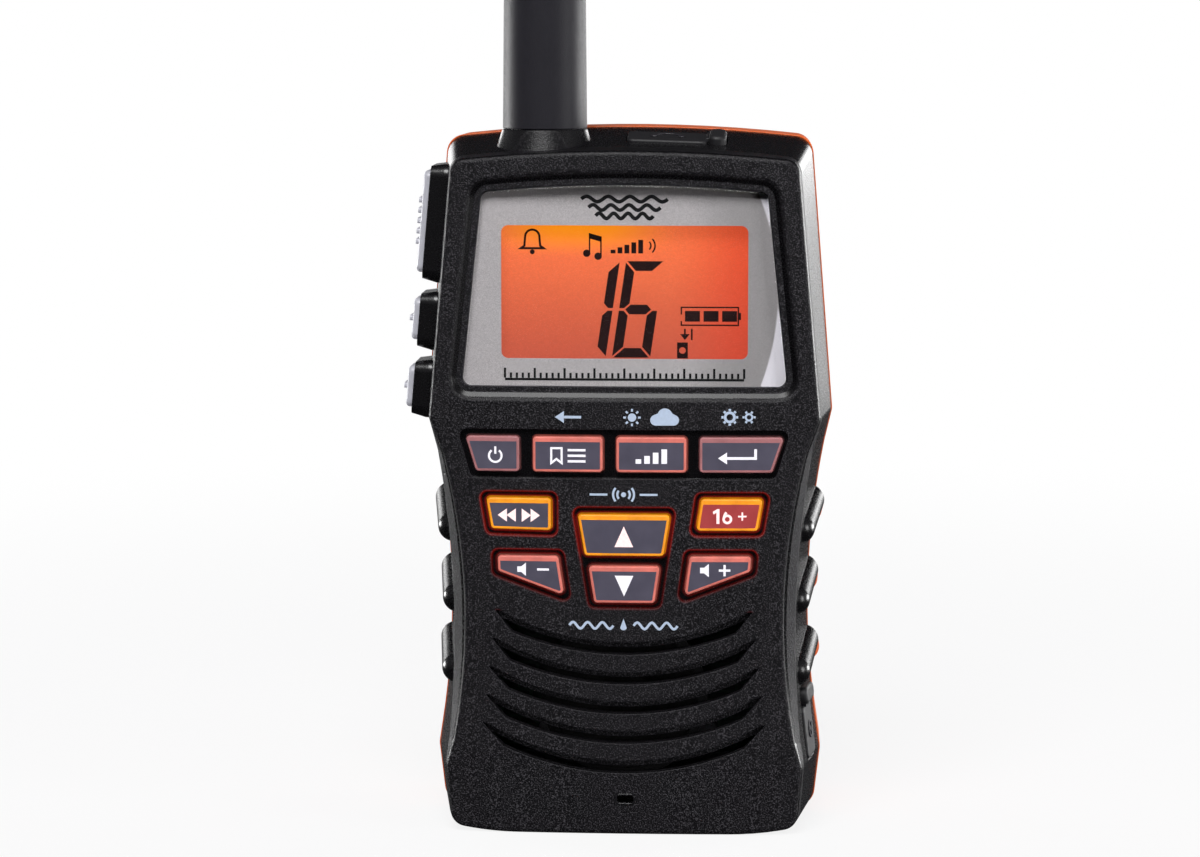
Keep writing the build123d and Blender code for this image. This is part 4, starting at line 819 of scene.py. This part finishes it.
def dress_keys():
    """Lit rubber caps, each with a dark printed face and its legend."""
    rims = dict.fromkeys(key_legends, lit_rubber("key_coral", RIM_CORAL, CORAL_GLOW))
    rims.update(dict.fromkeys(amber_keys, lit_rubber("key_amber", RIM_AMBER, AMBER_GLOW)))
    rims.update(dict.fromkeys(dim_keys, lit_rubber("key_dim", RIM_DIM, DIM_GLOW)))
    slate, red = key_ink("key_slate", KEY_SLATE), key_ink("key_red", KEY_RED)
    white = printed("legend_white", LEGEND_WHITE, WHITE_GLOW)
    pink = printed("legend_pink", LEGEND_PINK, PINK_GLOW)
    for name, legend in key_legends.items():
        cover(name, rims[name])
        inside = inner_face(cap_outline(name))
        base = KEY_PROUD + INK
        ink = red if name == "key_priority" else slate
        plate(f"{name}_face", [[inside]], on_face, KEY_PROUD - INK, base, ink, name)
        x, z = middle_of(inside)
        shift = legend_shift.get(name, (0, 0))
        shapes = moved(legend, x + shift[0], z + shift[1], LEGEND_SCALE)
        lit = pink if name in amber_keys else white
        plate(f"{name}_legend", shapes, on_face, base - INK / 2, base + INK, lit, name)


def cover(name, finish):
    """Gives a CAD node one of the finishes."""
    slots = nodes[name].data.materials
    slots.clear()
    slots.append(finish.material)


def cover_all(finish, *names):
    for name in names:
        cover(name, finish)


# ---------------------------------------------------------------- the rest of the radio
def dress_shells():
    cover("front_housing", face_housing())
    even = {"mottle": 0.06, "wear": 1.12}
    shell = grained("orange_shell", SHELL_ORANGE, rough=0.42, grain=0.25, depth=0.02, **even)
    cover("rear_housing", shell)
    back = grained("moulded_dark", BLACK_PLASTIC, rough=0.5, grain=0.3, depth=0.04, wear=2.0)
    cover_all(back, "battery_door", "clip_base", "clip_arm")


def dress_rubber():
    soft = grained("soft_black", BLACK_RUBBER, rough=0.55, grain=0.2, depth=0.02, wear=1.9)
    cover_all(soft, "accessory_flap", "accessory_anchor", "charge_flap", "charge_anchor")
    seals = grained("seal_rubber", SEAL_BLACK, rough=0.6, grain=0.3, depth=0.02, wear=1.3)
    cover_all(seals, "housing_seal", "door_seal", "antenna_seal", "lens_gasket", "mic_boot", "keypad_mat")
    buttons = grained("button_grey", BUTTON_GREY, rough=0.38, grain=0.16, depth=0.015, wear=1.35)
    cover_all(buttons, "ptt_button", "upper_side_button", "lower_side_button")
    dull = {"mottle": 0.06, "wear": 1.4, "Specular_IOR_Level": 0.2}
    sleeve = grained("antenna_grey", ANTENNA_GREY, rough=0.46, grain=0.16, depth=0.02, **dull)
    cover("antenna_sleeve", sleeve)


def dress_window():
    cover("window_lens", clear_window())
    cover("window_mask", silver_print())
    cover("lcd_panel", lit_display())
    cover("lcd_backlight", lit_rubber("light_guide", GUIDE_AMBER, GUIDE_GLOW))
    ink = printed("display_ink", LCD_INK)
    plate("display_marks", display_marks, on_display, -INK / 2, INK, ink, "radio")
    black = printed("mask_ink", MASK_INK)
    plate("mask_marks", mask_waves + mask_scale, on_mask, -INK / 2, INK, black, "radio")


MARK_HEIGHT = 0.22  # of the raised signs on the jack covers


def dress_labels():
    blue = printed("label_ink", LABEL_BLUE)
    plate("face_labels", face_labels, on_face, -INK / 2, INK, blue, "radio")
    soft = grained("flap_relief", shade(BLACK_RUBBER, 1.4), rough=0.42, grain=0.2, depth=0.01, wear=2.0)
    headset = [band(arc((0, -1.2), 2.6, 25, 155), 0.45), disc((2.3, -0.5), 0.6), disc((-2.3, -0.5), 0.6)]
    socket = [ring((0, 0), 1.5, 0.4), disc((0, 0), 0.5)]
    for jack, sign in (("accessory", headset), ("charge", socket)):
        flap = f"{jack}_flap"
        plate(f"{jack}_mark", sign, on_flap(jack), -INK, MARK_HEIGHT, soft, flap)


MIC_SLOT = {"width": 2.8, "height": 1.3, "radius": 0.45}
MIC_RIM, MIC_LIP_HEIGHT = 0.30, 0.10


def dress_microphone_slot():
    """The raised lip round the microphone's slot, over the microphone."""
    low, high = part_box("microphone")
    centre = ((low.x + high.x) / 2 / MM, (low.z + high.z) / 2 / MM)
    lip = [rounded_block(centre, **MIC_SLOT, grow=MIC_RIM), rounded_block(centre, **MIC_SLOT)]
    dark = grained("slot_lip", shade(BLACK_PLASTIC, 1.2), rough=0.36, grain=0.2, depth=0.01)
    plate("microphone_lip", [lip], on_face, -INK, MIC_LIP_HEIGHT, dark, "radio")


def dress_inside():
    grey = grained("grey_plastic", PLASTIC_GREY, rough=0.5, grain=0.3, depth=0.02)
    cover_all(grey, "lcd_frame", "battery_tray", "side_switches", "antenna_core")
    cover("speaker_cone", grained("paper_cone", PAPER_BLACK, rough=0.8, grain=0.4, depth=0.05))
    felt = grained("black_felt", FELT_BLACK, rough=0.9, grain=0.2, depth=0.05)
    cover_all(felt, "microphone", "speaker_frame")
    steel = metal("steel", STEEL, rough=0.32, stretch=(1, 1, 0.2))
    cover_all(steel, "housing_screws", "board_screws", "left_door_screw", "right_door_screw", "clip_pin")
    cover_all(steel, "clip_spring", "key_domes", "battery_contacts", "shield_cans")
    brass = metal("brass", BRASS, rough=0.28)
    cover_all(brass, "antenna_jack", "antenna_ferrule", "accessory_jack", "charge_jack", "antenna_coil")
    cover_all(circuit_board(), "main_board", "key_board", "side_board")
    cover("battery_cells", cell_sleeve())
    cover("chassis", metal("aluminium", ALUMINIUM, rough=0.4))


# ---------------------------------------------------------------- stage, lights and camera
FLOOR_HALF = 60000.0
CAMERA_PLACE = Vector((31.0, -640.5, 143.56))
CAMERA_TURN, CAMERA_DROP = 3.226, 6.835  # degrees, to the left and down
CAMERA_LENS = 112.39
LAMP_AIM = Vector((0, 0, 90))
SOFTBOXES = {  # place, width, height and watts of each
    "left_back": ((-600, 330, 80), 260, 150, 2.4),
    "right_back": ((560, 330, 80), 300, 150, 2.6),
    "right_front": ((600, -300, 160), 200, 300, 1.3),
    "right_rim": ((430, 880, 190), 300, 200, 1.0),
    "left_rim": ((-430, 880, 190), 300, 200, 0.6),
    "key_light": ((-80, -560, 800), 500, 400, 8.0),
}
# Ranges of a ray's direction: its backward part, and its upward part.
WHITE_BACK, DARK_BACK, STUDIO_DEPTH = (-0.2, 0.6), (0.2, 0.6), (-0.5, 0.6)
WHITE_LOW, DARK_HIGH = (0.14, 0.04), (0.14, 0.24)


def add_floor():
    """A pale floor that runs to the horizon."""
    data = bpy.data.meshes.new("floor")
    reach = FLOOR_HALF * MM
    corners = [(-reach, -reach, 0), (reach, -reach, 0), (reach, reach, 0), (-reach, reach, 0)]
    data.from_pydata(corners, [], [(0, 1, 2, 3)])
    data.materials.append(stage_finish("pale_floor", FLOOR_PAPER).material)
    floor = bpy.data.objects.new("floor", data)
    bpy.context.scene.collection.objects.link(floor)


def add_camera():
    data = bpy.data.cameras.new("camera")
    data.lens = CAMERA_LENS
    data.sensor_fit = "HORIZONTAL"
    camera = bpy.data.objects.new("camera", data)
    camera.location = CAMERA_PLACE * MM
    camera.rotation_euler = (radians(90 - CAMERA_DROP), 0, radians(CAMERA_TURN))
    bpy.context.scene.collection.objects.link(camera)
    bpy.context.scene.camera = camera


def add_softbox(name, place, width, height, power):
    """A soft area lamp turned to the radio's middle."""
    data = bpy.data.lights.new(name, "AREA")
    data.shape = "RECTANGLE"
    data.size, data.size_y, data.energy = width * MM, height * MM, power
    lamp = bpy.data.objects.new(name, data)
    lamp.location = Vector(place) * MM
    aim = LAMP_AIM * MM - lamp.location
    lamp.rotation_euler = aim.to_track_quat("-Z", "Y").to_euler()
    lamp.visible_camera = False
    bpy.context.scene.collection.objects.link(lamp)


def add_world():
    """White to the camera; mirrored rays see white low behind the radio, dark over it, else grey."""
    world = bpy.data.worlds.new("studio")
    world.use_nodes = True
    bpy.context.scene.world = world
    sky = Nodes(world.node_tree, "Generated")
    _, back, up = sky.split()
    camera, mirrored = sky.sight()
    low_behind = sky.math("MULTIPLY", sky.ramp(back, *WHITE_BACK), sky.ramp(up, *WHITE_LOW))
    seen = sky.math("MAXIMUM", sky.math("MULTIPLY", mirrored, low_behind), camera)
    studio = sky.mix(sky.ramp(back, *STUDIO_DEPTH), STUDIO_FRONT, STUDIO_BACK)
    high_behind = sky.math("MULTIPLY", sky.ramp(back, *DARK_BACK), sky.ramp(up, *DARK_HIGH))
    studio = sky.mix(sky.math("MULTIPLY", mirrored, high_behind), studio, STUDIO_DARK)
    sky.join(sky.mix(seen, studio, WHITE), world.node_tree.nodes["Background"].inputs["Color"])


dress_shells()
dress_rubber()
dress_window()
dress_keys()
dress_labels()
dress_microphone_slot()
dress_inside()
add_floor()
add_camera()
for lamp_name, lamp_settings in SOFTBOXES.items():
    add_softbox(lamp_name, *lamp_settings)
add_world()
bpy.context.scene.view_settings.view_transform = "Standard"
